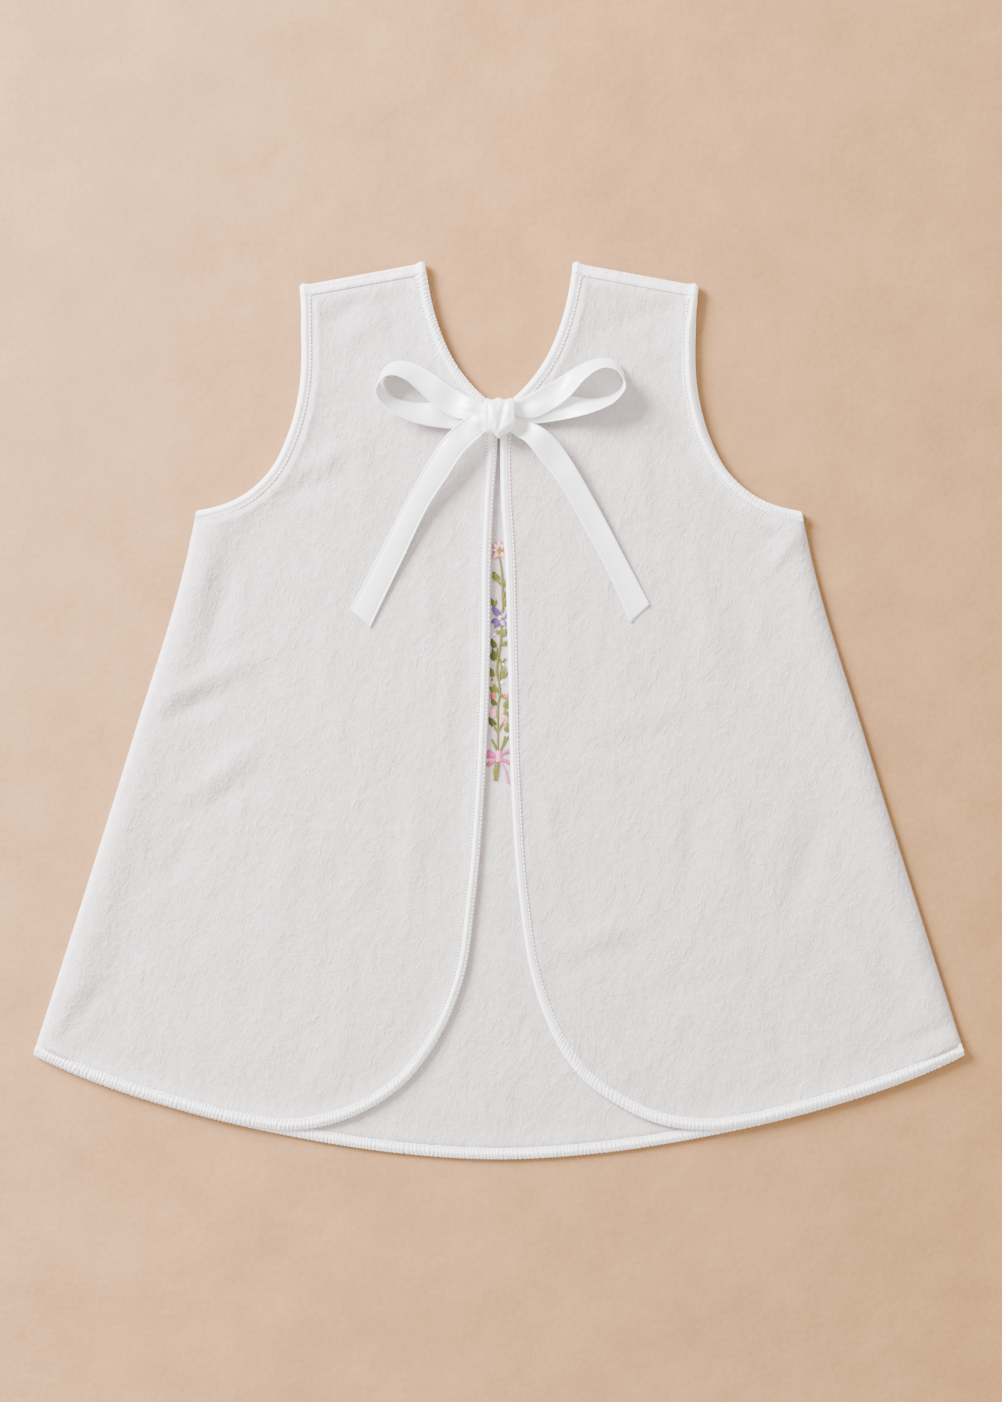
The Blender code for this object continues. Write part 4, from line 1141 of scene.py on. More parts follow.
def back_rails(side):
    """Rails of the neck, armhole and open edge strips of one back panel."""
    outline = back_outline(side)
    middle_line = outline[0], outline[0] - outline[1]
    neck = cut_at_shoulder(meet(neck_edge, *middle_line), SHOULDER_SEAM)
    inner_neck = cut_at_shoulder(meet(offset(neck_edge, STRIP_WIDTH), *middle_line), SHOULDER_SEAM)
    armhole = cut_at_shoulder(armhole_edge, SHOULDER_SEAM)
    inner_armhole = cut_at_shoulder(armhole_inner, SHOULDER_SEAM)
    under_neck = inner_neck[-1] - (0, 0.2 * MM), inner_neck[-1] - inner_neck[-8]
    edge = meet(meet(outline, hem_corner, side_end_direction)[::-1], *under_neck)[::-1]
    inner_edge = meet(offset(outline, STRIP_WIDTH), hem_corner, side_end_direction)
    inner_edge = meet(inner_edge[::-1], *under_neck)[::-1]
    shares_neck, shares_long = shares(120), shares(700)
    edge, inner_edge = along(edge, shares_long), along(inner_edge, shares_long)
    middle = ((edge + inner_edge) / 2)[None]
    rise = fall(distance_to(bound_edges, middle)[0], 7.5 * MM, 12 * MM)
    height = STRIP_LEVEL_OPENING + (STRIP_LEVEL_BACK - STRIP_LEVEL_OPENING) * rise
    rails = {
        "neck": rail(along(neck, shares_neck), along(inner_neck, shares_neck), STRIP_LEVEL_BACK),
        "armhole": shifted(rail(along(armhole, shares_long), along(inner_armhole, shares_long),
                                STRIP_LEVEL_BACK), ARMHOLE_SHIFT[side]),
        "edge": narrowed(rail(edge, inner_edge, height), EDGE_WIDTH[side]),
    }
    return {kind: stations if side > 0 else flipped(stations) for kind, stations in rails.items()}


def round_corner(distance, stations):
    """Threads on the hem and the rounded corner, none up the open edge, and fewer at the
    side corner."""
    return fall(stations[:, 1] / MM, -138, 22) * away_from_sides(distance, stations)


def lower_armhole(distance, stations):
    """Soft gathers that grow towards the underarm and stop short of its corner."""
    return fall(stations[:, 1] / MM, 85, 40) * (1 - fall(distance[-1] - distance, 3 * MM, 5 * MM))


rails = {"left": back_rails(-1), "right": back_rails(1)}
# A strip's ditch pair is the place and strength of the shade painted beside its tube
BACK_STYLES = {
    ("left", "neck"): {"ribs": 0.52 * MM, "slant": -0.8, "seed": 17, "tube": (0.04, 0.86),
                       "band": (0.04, 0.86)},
    ("right", "neck"): {"ditch_shade": (0.64, 0.5)},
    ("left", "armhole"): {"ribs": 0.20 * MM, "slant": 0.5, "where": lower_armhole, "band": TUBE,
                          "ditch_shade": (0.62, 0.7), "ends": (False, True), "seed": 23},
    ("right", "armhole"): {"ribs": 0.34 * MM, "slant": 0.4, "where": lower_armhole, "band": TUBE,
                           "ends": (False, True), "seed": 29},
    ("left", "edge"): {"ribs": 0.66 * MM, "pitch": 1.48 * MM, "where": round_corner,
                       "tube": (0.17, 0.82), "ditch_shade": (0.15, 0.5), "ends": (False, True), "seed": 41},
    ("right", "edge"): {"ribs": 0.50 * MM, "pitch": 1.65 * MM, "where": round_corner, "valley": 0.5,
                        "tube": (0.0, 0.60), "ditch_shade": (0.68, 1.0), "ends": (False, True), "seed": 53},
}
back_strips = {}
for (word, kind), style in BACK_STYLES.items():
    back_strips[word, kind] = strip(f"back_{word}_{kind}_strip", rails[word][kind], **style)
print("strips of the back:", len(back_strips))

# %% [markdown]
# Stitches are short lengths of thread that dip into the cloth at both ends. Between each
# and the next lies a short dark thread that paints the shade of the gap. All stitches of a
# seam are one mesh, and its painted gap shades another: an array holds a short path for
# each, and a ring of points is carried along every path at once.

# %% Threads and stitches


def tubes(name, paths, radii, finish, sides=6):
    """Round threads along many paths with equally many points. Each ring stands square
    to its path: one axis level, the other square to both."""
    tangents = np.gradient(paths, axis=1)
    tangents /= np.linalg.norm(tangents, axis=2)[..., None]
    level = np.cross([0.0, 0.0, 1.0], tangents)
    level /= np.maximum(np.linalg.norm(level, axis=2), 1e-9)[..., None]
    square = np.cross(tangents, level)
    angle = np.linspace(0, 2 * math.pi, sides, endpoint=False)
    radii = np.broadcast_to(radii, paths.shape[:2])[..., None, None]
    ring = np.cos(angle)[:, None] * level[:, :, None] + np.sin(angle)[:, None] * square[:, :, None]
    points = paths[:, :, None] + radii * ring
    count, length = paths.shape[:2]
    block = lattice(length, sides, True)[None] + (np.arange(count) * length * sides)[:, None, None]
    first = np.arange(count)[:, None] * length * sides + np.arange(sides)
    last = first[:, ::-1] + (length - 1) * sides
    faces = block[..., ::-1].reshape(-1, 4).tolist() + first.tolist() + last.tolist()
    return add_mesh(name, points, faces, finish)


def row_on(stations, share, lift):
    """A line on a strip: its points at a share of the width from the outer edge, raised
    along the thickness."""
    line = stations[:, :3] + share * (stations[:, 3:6] - stations[:, :3])
    return line + lift * stations[:, 6:]


# Radius along a stitch, as a share of its greatest
BEAD = np.array([0.62, 0.96, 1.0, 0.96, 0.62])


def stitch_paths(line, pitch, length, arch, start, seed):
    """Short paths along a line: one each pitch, uneven by a tenth, arched upwards."""
    measure = lengths(line)
    places = np.arange(start, measure[-1] - start - length, pitch)
    places = places + np.random.default_rng(seed).uniform(-0.1, 0.1, len(places)) * pitch
    t = np.linspace(0, 1, len(BEAD))
    targets = (places[:, None] + length * t).ravel()
    paths = at(line, measure, targets).reshape(len(places), len(t), 3)
    paths[..., 2] += arch * np.sin(math.pi * t)
    return paths


def top_side(stations):
    """The rail with its thickness direction turned upwards."""
    up = stations.copy()
    up[:, 6:] *= np.sign(up[:, 8:9] + 1e-9)
    return up


STITCH_SHARE = 0.58
STITCH_ARCH = 0.10 * MM
SEAM_START = 0.8 * MM
# How far the painted gap shades sink, and how much thicker they are than the stitches
GAP_SHADE_DROP, GAP_SHADE_EXTRA = 0.03 * MM, 0.06 * MM


def seam(name, line, radius, pitch, seed):
    """A row of stitches, and between them a row of short dark threads that paint the shade of
    the gaps: a stitch covers its share of the pitch, and a painted gap shade the rest."""
    length = STITCH_SHARE * pitch
    stitches = stitch_paths(line, pitch, length, STITCH_ARCH, SEAM_START, seed)
    low = line - (0, 0, GAP_SHADE_DROP)
    gap_shades = stitch_paths(low, pitch, pitch - length, 0.0, SEAM_START + length, seed)
    return [wear(tubes(f"{name}_holes", gap_shades, BEAD * (radius + GAP_SHADE_EXTRA), needle_hole), "binding"),
            wear(tubes(name, stitches, BEAD * radius, sewing_thread), "binding")]


# Columns: strip, share of its width, lift, thread thickness, pitch, lowest y, in mm
STITCH_ROWS = (
    ("left", "armhole", 0.84, 0.44, 0.50, 1.60, -200), ("left", "neck", 0.88, 0.42, 0.50, 1.45, -200),
    ("left", "edge", 0.13, 0.28, 0.50, 1.60, -128), ("left", "edge", 0.90, 0.40, 0.50, 1.35, -132),
    ("right", "armhole", 0.84, 0.44, 0.50, 1.55, -200), ("right", "armhole", 0.36, 1.00, 0.40, 1.45, 84),
    ("right", "neck", 0.84, 0.44, 0.56, 1.60, -200), ("right", "edge", 0.84, 0.42, 0.56, 1.62, -136),
)
stitch_rows = []
for seed, (word, kind, share, lift, thickness, pitch, lowest) in enumerate(STITCH_ROWS):
    line = row_on(top_side(rails[word][kind]), share, lift * MM)
    line = line[line[:, 1] > lowest * MM]
    row_name = f"stitches_{word}_{kind}_{round(100 * share)}"
    stitch_rows += seam(row_name, line, thickness / 2 * MM, pitch * MM, seed)
print("stitch rows:", len(STITCH_ROWS))

# %% [markdown]
# The overlock's needle threads zigzag along the inner side of the hem strip. Each is a
# thin tube whose path swings between the strip and the cloth.

# %% Overlock loops
LOOP_PITCH, LOOP_RADIUS, LOOP_LIFT = 1.5 * MM, 0.15 * MM, 0.62 * MM
LOOP_SHARES = (0.78, 1.06)


def zigzag(stations):
    """One long path that swings between two shares of the strip's width, unevenly, and
    sinks towards the cloth as it leaves the strip."""
    stations, distance = spaced(stations, LOOP_PITCH / 4)
    phase = distance / LOOP_PITCH + 0.5 * random_line(distance, 6 * MM, 7)
    swing = np.abs(2 * (phase % 1) - 1)
    uneven = 0.75 + 0.35 * random_line(distance, 2.4 * MM, 8)
    share = LOOP_SHARES[0] + (LOOP_SHARES[1] - LOOP_SHARES[0]) * swing * uneven
    lift = LOOP_LIFT * (1.0 - 0.75 * swing) + 0.02 * MM
    return row_on(stations, share[:, None], lift[:, None])[None]


loop_sources = {"hem": hem_rail, "left": rails["left"]["edge"], "right": rails["right"]["edge"]}
loops = []
for word, stations in loop_sources.items():
    low_part = top_side(stations[(stations[:, 1] < -150 * MM) | (np.abs(stations[:, 0]) > 60 * MM)])
    low_part = low_part[np.abs(low_part[:, 0]) < hem_corner[0] - 6 * MM]
    loop = tubes(f"overlock_loops_{word}", zigzag(low_part), LOOP_RADIUS, sewing_thread, sides=5)
    loops.append(wear(loop, "binding"))
print("overlock loops:", len(loops))

# %% [markdown]
# The bow is a single satin ribbon, 10 mm wide, tied in a flat bow. Satin shines along
# its length, has a firm selvedge on both edges, and crowns slightly between them.

# %% Satin
SATIN_COLOUR = (0.925, 0.905, 0.908)
RIBBON_WIDTH = 10.0 * MM
SELVEDGE, SELVEDGE_BLEND = 0.5 * MM, 0.15 * MM
WEFT_PITCH = 0.42 * MM
SATIN_ROUGHNESS = 0.36


def satin_finish():
    """Threads that float along the ribbon, a fine weft across it, a cloudy unevenness, and
    a raised, rougher and paler selvedge along both edges."""
    made = Finish("satin", Roughness=SATIN_ROUGHNESS, Specular_IOR_Level=1.0, Sheen_Weight=0.1,
                  Sheen_Roughness=0.3, Coat_Weight=1.0, Coat_Roughness=0.40,
                  Subsurface_Weight=0.15, Subsurface_Scale=0.002,
                  Subsurface_Radius=(1.0, 1.0, 1.0))
    cloth_place = made.surface()
    across, length = cloth_place.axis(0), cloth_place.axis(1)
    middle = abs(across - RIBBON_WIDTH / 2)
    selvedge = ((middle - (RIBBON_WIDTH / 2 - SELVEDGE)) / SELVEDGE_BLEND).clamped()
    floats = made.noise(cloth_place * (1.0, 0.04, 1.0), 4200.0, 1.0)
    weft = (length * (2 * math.pi / WEFT_PITCH)).wave()
    cloudy = made.noise(cloth_place * (1.0, 0.35, 1.0), 160.0, 2.0)
    made.bump(floats * 0.000016 + weft * 0.0000025 + cloudy * 0.00012 + selvedge * 0.00006)
    made.feed("Base Color", made.mix(selvedge, shade(SATIN_COLOUR, 1.0), shade(SATIN_COLOUR, 1.08)))
    made.feed("Roughness", SATIN_ROUGHNESS + selvedge * 0.3 + cloudy * 0.08)
    return made


satin = satin_finish()

# %% [markdown]
# A ribbon's grid lies between its two edge lines and is lifted off them by sums of bell
# shapes: a low crown, folds that fan out of the knot, a firm selvedge, and a few larger
# bulges where tying has crushed it.

# %% Loops and tails
RIBBON_COLUMNS = np.array([0, 0.02, 0.05, 0.08, 0.14, 0.22, 0.3, 0.4, 0.5, 0.6, 0.7, 0.78, 0.86,
                           0.92, 0.95, 0.98, 1.0])
RIBBON_STEP = 0.8 * MM
RIBBON_WALL = 0.32 * MM
FOLD_REACH = 8.0 * MM
# The selvedge and the dip beside it: height in mm, place and half width as shares
SELVEDGE_PROFILE = ((0.20, 0.02, 0.025), (-0.12, 0.08, 0.03))
# Crown and folds are heights in mm, and ends says at which ends the folds start. Bulges
# have a place along the ribbon and a half length in mm, a place across and a half width
# as shares, and a rise in mm; a place below zero counts back from the far end
RIBBON_FORMS = {
    "bow_loop_left": {"crown": 0.4, "folds": 0.40, "ends": (True, True), "bulges": (
        (5.5, 3.2, 0.45, 0.60, 1.50), (13.0, 4.0, 0.50, 0.60, -1.10), (21.0, 4.5, 0.30, 0.45, 0.80),
        (-6.0, 3.0, 0.35, 0.35, 0.70), (-14.0, 5.0, 0.60, 0.40, 0.90), (-22.0, 4.0, 0.40, 0.50, -0.90))},
    "bow_loop_right": {"crown": 0.6, "folds": 0.40, "ends": (True, True), "bulges": (
        (5.0, 3.5, 0.35, 0.30, 1.20), (9.0, 5.0, 0.72, 0.22, -0.90), (19.0, 6.0, 0.35, 0.40, 1.10),
        (28.0, 5.0, 0.60, 0.50, -0.60), (-5.0, 3.0, 0.40, 0.30, 0.90), (-12.0, 6.0, 0.60, 0.35, 1.10),
        (-24.0, 5.0, 0.40, 0.40, -0.60))},
    "bow_tail_left": {"crown": 0.5, "folds": 0.30, "ends": (True, False), "bulges": (
        (5.0, 3.4, 0.40, 0.40, 1.50), (13.5, 4.5, 0.30, 0.40, -1.30), (23.0, 6.0, 0.60, 0.60, 0.70),
        (62.0, 9.0, 0.50, 0.60, 0.40))},
    "bow_tail_right": {"crown": 0.5, "folds": 0.30, "ends": (True, False), "bulges": (
        (6.5, 3.2, 0.50, 0.70, 1.45), (15.5, 4.5, 0.45, 0.70, -1.25), (28.0, 5.5, 0.50, 0.70, 0.80),
        (58.0, 8.0, 0.50, 0.60, 0.35))},
}


def bulge_sum(table, distance, across, length):
    """Sum of oval bulges on a ribbon, each a bell shape along it and across it, in mm."""
    total = 0 * distance * across
    for place, half_length, share, half_width, rise in table:
        place = place * MM + (length if place < 0 else 0)
        total = total + rise * np.exp(-((distance - place) / (half_length * MM)) ** 2
                                      - ((across - share) / half_width) ** 2)
    return total


def ribbon(name, crown, folds, ends, bulges):
    """A ribbon between its two edges. It is lifted off the line between them by a crown
    across its width, by folds that die out away from the knot, by its firm selvedges and
    by bulges."""
    edges = smooth(np.array(RIBBON_EDGES[name]) * MM)
    rows = round(lengths(edges)[-1] / RIBBON_STEP)
    edges = along(edges, shares(rows), 12 * MM)
    distance = lengths(edges)
    u = RIBBON_COLUMNS[None, :, None]
    grid = (1 - u) * edges[:, None, :3] + u * edges[:, None, 3:]
    normal = np.cross(np.gradient(grid, axis=0), np.gradient(grid, axis=1))
    normal /= np.linalg.norm(normal, axis=2)[..., None]
    near = sum(np.exp(-(away / FOLD_REACH) ** 2) for away, wanted
               in zip((distance, distance[-1] - distance), ends) if wanted)
    u, distance = RIBBON_COLUMNS[None, :], distance[:, None]
    lift = crown * (1 - (2 * u - 1) ** 2) + folds * near[:, None] * np.cos(4.2 * math.pi * u + 0.5)
    for height, place, half_width in SELVEDGE_PROFILE:
        lift = lift + height * np.exp(-((np.minimum(u, 1 - u) - place) / half_width) ** 2)
    length = distance[-1, 0]
    lift = lift + bulge_sum(bulges, distance, u, length)
    grid = grid + MM * lift[..., None] * normal
    uv = np.dstack(np.broadcast_arrays(u * RIBBON_WIDTH, distance))
    made = add_mesh(name, grid, lattice(*grid.shape[:2], False).tolist(), satin, uv=uv)
    thicken(made, RIBBON_WALL)
    print(name, "length, mm:", round(length / MM, 1))
    return wear(made, "ribbon", name), length


ribbons = {name: ribbon(name, **form) for name, form in RIBBON_FORMS.items()}

# %% [markdown]
# The knot is the ribbon wrapped once round the crossing. It is a closed surface round
# the X axis, and its lower rim hangs down in a lobe. Its folds are placed on its upper
# face as short ridges and troughs: two rolls, the deep fold between them that slants
# down, and the ribbon's turned edge.

# %% Knot
KNOT_MIDDLE = np.array([0.1, 119.6, 9.3]) * MM
KNOT_WIDTH = 12.4 * MM
KNOT_HALF_LENGTH = 7.4 * MM
KNOT_HALF_HEIGHT = 4.3 * MM
KNOT_ROWS, KNOT_COLUMNS = 81, 112
SQUARENESS = 2.6
# Columns as for the creases, measured from the knot's middle
KNOT_FOLDS = (
    (2.3, 5.6, 1.4, 2.2, 1.00, -0.60), (1.4, 2.4, 0.5, -1.2, 0.95, -1.10),
    (0.5, -1.0, 0.1, -4.6, 0.80, -0.90), (-2.4, 5.4, -2.2, -3.6, 1.50, 0.40),
    (3.9, 5.2, 2.7, -2.8, 1.35, 0.45), (-0.9, 7.0, -0.9, 3.8, 1.0, -0.40),
    (-1.1, -2.6, -1.9, -6.4, 0.70, 0.35), (-4.6, 6.2, -4.4, -4.4, 0.80, -0.35),
    (-0.2, -6.4, 5.0, -2.6, 0.90, 0.38), (0.8, -7.5, 5.6, -4.0, 0.80, -0.45),
)


def knot():
    """A box with rounded edges round the X axis, with u along it and a round it, that
    closes to a small ring at both ends. Its upper rim is scalloped. Its lower rim hangs
    down in a lobe at the middle and is drawn up at the corners, most at the right one."""
    u = np.concatenate([[-1, -1], np.linspace(-1, 1, KNOT_ROWS), [1, 1]])[:, None]
    close = np.concatenate([[0.02, 0.6], np.ones(KNOT_ROWS), [0.6, 0.02]])[:, None]
    a = np.linspace(0, 2 * math.pi, KNOT_COLUMNS, endpoint=False)[None, :]
    end = (0.84 + 0.16 * (1 - np.abs(u) ** 6) ** 0.5) * close
    box = np.abs(np.cos(a)) ** SQUARENESS + np.abs(np.sin(a)) ** SQUARENESS
    size = end * box ** (-1 / SQUARENESS)
    scallop = 0.42 * np.cos(2 * math.pi * (u + 0.04) / 0.84) * np.clip(np.cos(a), 0, 1) ** 2
    lobe = 1.85 * np.exp(-((u + 0.03) / 0.25) ** 2)
    corner = 0.5 + 3.6 * np.clip((u - 0.42) / 0.58, 0, 1) ** 2
    sag = (lobe - corner) * np.clip(-np.cos(a), 0, 1) ** 1.5
    along_y = KNOT_HALF_LENGTH * size * np.cos(a) + (scallop - sag) * MM * close
    up = KNOT_HALF_HEIGHT * size * np.sin(a)
    grid = np.dstack(np.broadcast_arrays(u * KNOT_WIDTH / 2, along_y, up))
    grid[..., 2] += ridge_sum(KNOT_FOLDS, grid) * np.clip(np.sin(a), 0, 1) ** 0.5 * close
    uv = np.dstack(np.broadcast_arrays((u + 1) * RIBBON_WIDTH / 2, a * KNOT_HALF_HEIGHT))
    faces = closed_faces(*grid.shape[:2])
    made = add_mesh("bow_knot", grid + KNOT_MIDDLE, faces, satin, uv=uv, merge=True)
    return wear(made, "ribbon", "bow_knot")


bow_knot = knot()

# %% [markdown]
# A narrow spray of flowers is embroidered on the front, and the open back shows it. It is
# ordinary flower, leaf and bow stitching, placed one by one: satin-stitch petals and leaves,
# stem-stitch stalks and small knots. A satin-stitch shape is a fan of parallel threads,
# arched in the middle, so the light runs along them as on real thread.

# %% Embroidery threads
TOP_OF_FRONT = 0.78 * MM
TWIST_PITCH, TWIST_RADIUS = 1.7 * MM, 0.22 * MM


def fan(x, y, angle, length, width, strands=6, dome=0.32, start=0.08):
    """Threads side by side that fill a petal or a leaf: they leave its foot together,
    spread to its width and meet at its tip, and are arched in the middle."""
    t = np.linspace(start, 1, 9)[None, :]
    w = np.linspace(-1, 1, strands)[:, None]
    forward = length * t * (1 - 0.10 * w**2)
    sideways = 0.5 * width * w * np.sin(math.pi * t ** 0.8) ** 0.75
    up = 0.1 + dome * np.sin(math.pi * t) ** 0.6 * np.sqrt(1 - 0.8 * w**2)
    turn = math.radians(angle)
    east = x + forward * math.cos(turn) - sideways * math.sin(turn)
    north = y + forward * math.sin(turn) + sideways * math.cos(turn)
    return np.dstack(np.broadcast_arrays(east * MM, north * MM, TOP_OF_FRONT + up * MM))


def satin_band(x0, y0, x1, y1, width0, width1, strands, dome=0.4):
    """Satin stitch: threads side by side across a band, from one end to the other."""
    foot, tip = np.array([x0, y0]), np.array([x1, y1])
    ahead = (tip - foot) / np.linalg.norm(tip - foot)
    side = np.array([-ahead[1], ahead[0]])
    t = np.linspace(0, 1, strands)[:, None]
    w = np.linspace(-0.5, 0.5, 9)[None, :]
    width = width0 + (width1 - width0) * t
    plan = foot + t[..., None] * (tip - foot) + (w * width)[..., None] * side
    up = 0.12 + dome * np.sqrt(1 - (2 * w) ** 2 * 0.96) + 0 * t
    return np.dstack([plan * MM, TOP_OF_FRONT + up * MM])


def stalk(rise, *points):
    """Two threads twisted round each other along a smooth line, as stem stitch lies."""
    line = smooth(np.array([(x, y, 0) for x, y in points]) * MM, 0.25 * MM)
    line = along(line, shares(90), 0.0)
    across = np.gradient(line, axis=0)[:, [1, 0, 2]] * (-1, 1, 1)
    across /= np.linalg.norm(across, axis=1)[:, None]
    turn = 2 * math.pi * lengths(line) / TWIST_PITCH
    paths = []
    for phase in (0, math.pi):
        path = line + TWIST_RADIUS * np.cos(turn + phase)[:, None] * across
        path[:, 2] = TOP_OF_FRONT + (rise + 0.12 * np.sin(turn + phase)) * MM
        paths.append(path)
    return np.array(paths)


def french_knot(x, y, radius=0.36):
    """A small coil of thread, one and a half turns that rise and draw in."""
    t = np.linspace(0, 1, 16)
    angle, reach = 3 * math.pi * t, radius * (1 - 0.5 * t)
    coil = np.column_stack([np.cos(angle) * reach, np.sin(angle) * reach, 0.15 + 0.3 * t]) * MM
    return (coil + (x * MM, y * MM, TOP_OF_FRONT))[None]


def embroidered(name, colour, radius, paths):
    """Threads of one colour on the front, thinner towards both of their ends."""
    finish = yarn("thread_" + name, colour, 0.42, 0.00003)
    t = np.linspace(0, 1, paths.shape[1])
    radii = radius * MM * (0.45 + 0.55 * np.sin(math.pi * np.clip(t, 0.06, 0.94)) ** 0.4)
    print("embroidery", name, "threads:", len(paths))
    return wear(tubes(f"embroidery_{name}", paths, radii, finish), "cotton")


# %% [markdown]
# The spray hangs from a flower with pale petals, by way of leaves, buds and a violet
# flower, to a pink bow at its foot. One table lists each colour of thread with its kind
# of stitch and its shapes, so a shape is moved by changing one row.

# %% The spray
OLIVE, MOSS, LEAF = (0.130, 0.125, 0.008), (0.072, 0.074, 0.008), (0.125, 0.135, 0.008)
PALE_PINK, BLUSH, ROSE = (0.86, 0.52, 0.56), (0.52, 0.12, 0.10), (0.56, 0.09, 0.26)
CORAL, VIOLET, LILAC = (0.55, 0.11, 0.09), (0.115, 0.050, 0.20), (0.46, 0.36, 0.66)
PEACH, KNOT_PINK = (0.76, 0.33, 0.34), (0.74, 0.24, 0.44)
GOLD, OCHRE, WHITE = (0.90, 0.52, 0.09), (0.24, 0.13, 0.012), (0.95, 0.94, 0.93)
# Columns: angle, length and width of a petal of the top flower
PETALS = ((52, 4.0, 2.2), (92, 4.9, 2.4), (132, 4.6, 2.3), (176, 3.6, 1.7), (232, 4.8, 2.6),
          (306, 4.2, 2.3))
TOP_FLOWER = (0.2, 65.6)
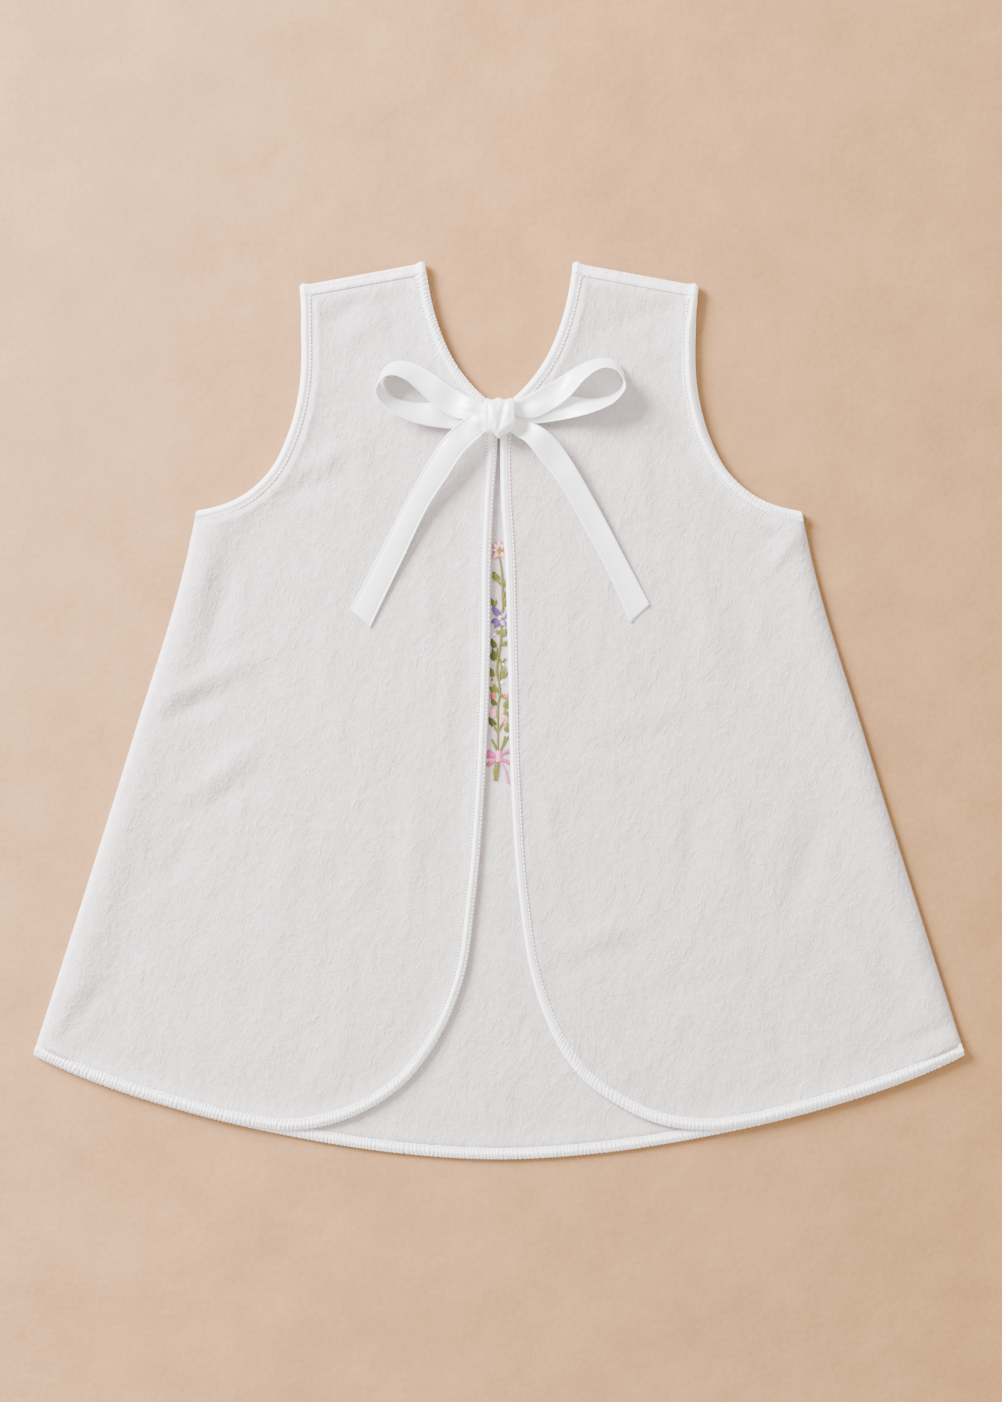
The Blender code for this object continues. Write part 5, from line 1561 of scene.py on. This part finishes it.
# Name, colour, thread radius in millimetres, kind of stitch, and what each shape of that
# kind is given: places and sizes in millimetres, angles in degrees
SPRAY = (
    ("stalks", OLIVE, 0.33, stalk, (
        (0.2, (0.2, 62.6), (0.9, 58.2), (1.3, 52.0), (1.4, 46.0), (1.5, 41.5), (0.8, 38.8)),
        (0.2, (0.8, 35.0), (0.7, 29.5), (0.2, 25.0), (-0.5, 21.0), (-0.8, 15.0), (0.0, 11.0)),
        (0.2, (1.2, 51.0), (0.4, 52.0), (-0.8, 53.4)), (0.2, (1.3, 45.0), (1.9, 47.0), (2.2, 49.0)),
        (0.2, (0.0, 21.5), (0.9, 19.0), (0.5, 15.0), (0.0, 10.5), (0.4, 7.0), (-0.4, 3.0),
         (-0.5, -4.0), (-0.5, -10.0), (-0.5, -16.3)),
        (0.2, (2.6, 21.4), (1.4, 19.6), (0.7, 18.0)),
        (0.2, (-2.9, 13.0), (-2.0, 10.4), (-0.6, 8.0), (0.1, 6.4)),
        (0.2, (2.9, 4.8), (2.0, 5.2), (0.6, 7.0)),
        (0.2, (3.3, -0.5), (2.4, -3.4), (0.8, -6.4), (-0.4, -8.6)),
        (0.2, (-2.4, -5.8), (-1.6, -7.4), (-0.6, -9.0)),
        (0.2, (-2.8, -11.8), (-1.8, -14.2), (-0.9, -16.5)),
        (0.2, (2.4, -10.4), (1.7, -13.4), (0.6, -16.4)),
        (0.2, (3.8, -10.6), (2.6, -12.6), (0.7, -16.2)),
        (0.35, (-0.7, -21.0), (-1.3, -25.0), (-2.0, -28.6)),
        (0.35, (-0.3, -21.2), (-0.6, -25.0), (-1.2, -28.8)))),
    ("leaves", LEAF, 0.19, fan, (
        (-0.4, 53.0, 118, 4.6, 2.5, 9), (1.9, 50.6, 74, 3.8, 1.7), (1.8, 42.6, 70, 4.8, 1.9, 7),
        (-2.4, 43.0, 105, 3.4, 1.4), (-2.2, 42.8, 66, 3.0, 1.2, 5), (0.9, 30.4, 52, 4.6, 2.0, 7),
        (0.8, 26.8, 26, 3.8, 1.6), (0.5, 31.4, 138, 2.4, 1.4, 5), (0.4, 13.6, 26, 3.6, 1.9, 7),
        (0.7, 15.2, 52, 3.4, 1.6), (2.5, 0.4, 78, 5.0, 2.2, 8), (2.9, -3.8, 96, 4.6, 2.0, 7),
        (2.9, -9.2, 80, 4.4, 2.1, 8), (-2.6, 13.4, 100, 4.4, 2.0, 7), (-0.9, 7.4, 142, 4.0, 1.9, 7),
        (-1.2, -21.6, 263, 7.2, 1.3, 5, 0.5))),
    ("dark_leaves", MOSS, 0.19, fan, (
        (-1.1, 20.2, 108, 5.6, 2.4, 8), (-0.8, 20.4, 88, 5.4, 1.7, 7), (-1.5, 25.4, 112, 4.6, 2.0, 7),
        (-1.4, 20.4, 132, 3.8, 1.6), (-1.6, -6.6, 124, 4.8, 2.4, 8), (-1.4, 1.8, 118, 3.8, 1.9, 7),
        (-2.4, 55.4, 62, 1.6, 0.8, 4))),
    ("blush_outlines", BLUSH, 0.25, fan, [(*TOP_FLOWER, *petal, 2, 0.3, 0.14) for petal in PETALS]),
    ("pale_petals", PALE_PINK, 0.20, fan, [
        (*TOP_FLOWER, angle, 0.93 * length, 0.56 * width, 4, 0.4, 0.24)
        for angle, length, width in PETALS]),
    ("peach_petals", PEACH, 0.21, fan, (
        (-2.8, -3.4, 82, 5.2, 2.6, 9), (0.9, -6.0, 66, 6.2, 2.9, 9), (-2.6, 10.2, 84, 2.4, 1.3, 5))),
    ("blush_petals", BLUSH, 0.20, fan, ((-2.9, 4.6, 72, 3.4, 2.1, 6), (2.4, 4.2, 64, 3.2, 1.8, 6))),
    ("violet_petals", VIOLET, 0.20, fan, (
        (0.1, 38.4, 121, 5.6, 2.3, 7), (-0.1, 37.4, 205, 3.6, 1.9, 6), (0.0, 37.2, 242, 3.9, 1.8, 6),
        (0.6, 37.2, 304, 3.7, 2.3, 2, 0.2), (0.7, 37.8, 44, 3.6, 2.0, 2, 0.2))),
    ("lilac_petals", LILAC, 0.20, fan, ((0.6, 37.2, 304, 3.4, 1.4, 4), (0.8, 38.0, 44, 3.4, 1.4, 4))),
    ("rose_bow", ROSE, 0.19, satin_band, (
        (-1.0, -18.8, -4.8, -17.7, 1.4, 3.8, 13), (-1.2, -20.2, -4.9, -22.4, 1.2, 1.9, 12),
        (1.0, -17.9, 4.7, -16.2, 1.2, 2.0, 12), (0.9, -19.8, 4.6, -21.6, 1.2, 1.9, 12))),
    ("pink_knot", KNOT_PINK, 0.19, satin_band, (
        (-0.1, -16.6, -0.1, -20.8, 2.2, 2.5, 14, 0.7), (0.9, -21.6, 2.4, -24.4, 1.0, 1.1, 10),
        (2.4, -24.4, 3.6, -29.6, 1.1, 1.2, 16))),
    ("white_knots", WHITE, 0.24, french_knot, ((1.2, 11.4, 0.46), (-1.9, 31.2, 0.46), (1.6, 18.9, 0.46))),
    ("coral_knots", CORAL, 0.22, french_knot, (
        (2.4, 16.8), (2.2, 0.5), (2.9, 15.8), (-3.1, 7.4), (2.0, 6.6), (2.9, 6.0), (-2.6, 1.0))),
    ("ochre_middle", OCHRE, 0.36, french_knot, (
        (0.1, 64.8, 0.60), (0.8, 65.6, 0.60), (-0.5, 65.8, 0.60), (0.3, 66.7, 0.60))),
    ("gold_middle", GOLD, 0.32, french_knot, ((0.3, 37.6, 0.55), (0.5, 38.2, 0.55))),
)
embroidery = [embroidered(name, colour, radius, np.concatenate([stitch(*row) for row in rows]))
              for name, colour, radius, stitch, rows in SPRAY]

# %% [markdown]
# For each back panel the size it was cut to is printed. The panels are cut from
# flat cotton, so the flat size is that of the piece before the side and shoulder seams,
# and the area is what remains of that rectangle after the curves are cut away.

# %% Sheets


def polygon_area(points):
    """Area inside a closed outline, by the sum of its cross products."""
    x, y = points[:, 0], points[:, 1]
    return abs(np.sum(x * np.roll(y, -1) - y * np.roll(x, -1))) / 2


def panel_area(inner):
    """Area between an inner edge, the hem, the side, the armhole and the shoulder."""
    return polygon_area(np.vstack([inner, side_edge[::-1], armhole_edge[::-1]]))


# The front is longer than its outline by what turns over the shoulders
for word, panel, side in (("left", back_left, -1), ("right", back_right, 1)):
    outline = back_outline(side)
    area = panel_area(np.vstack([neck_edge, outline]))
    width = hem_corner[0] - outline[0, 0]
    length = neck_edge[0, 1] - outline[:, 1].min()
    print(word, "back, mm:", round(width / MM, 1), "x", round(length / MM, 1), "area, m2:", round(area, 4))
    on_it = [back_strips[word, kind] for kind in ("neck", "armhole", "edge")]
    on_it += [row for row in stitch_rows + loops if word in row.name]
for name, (piece, length) in ribbons.items():
    "folded" if "loop" in name else "draped"
    "back_left" if "left" in name else "back_right"
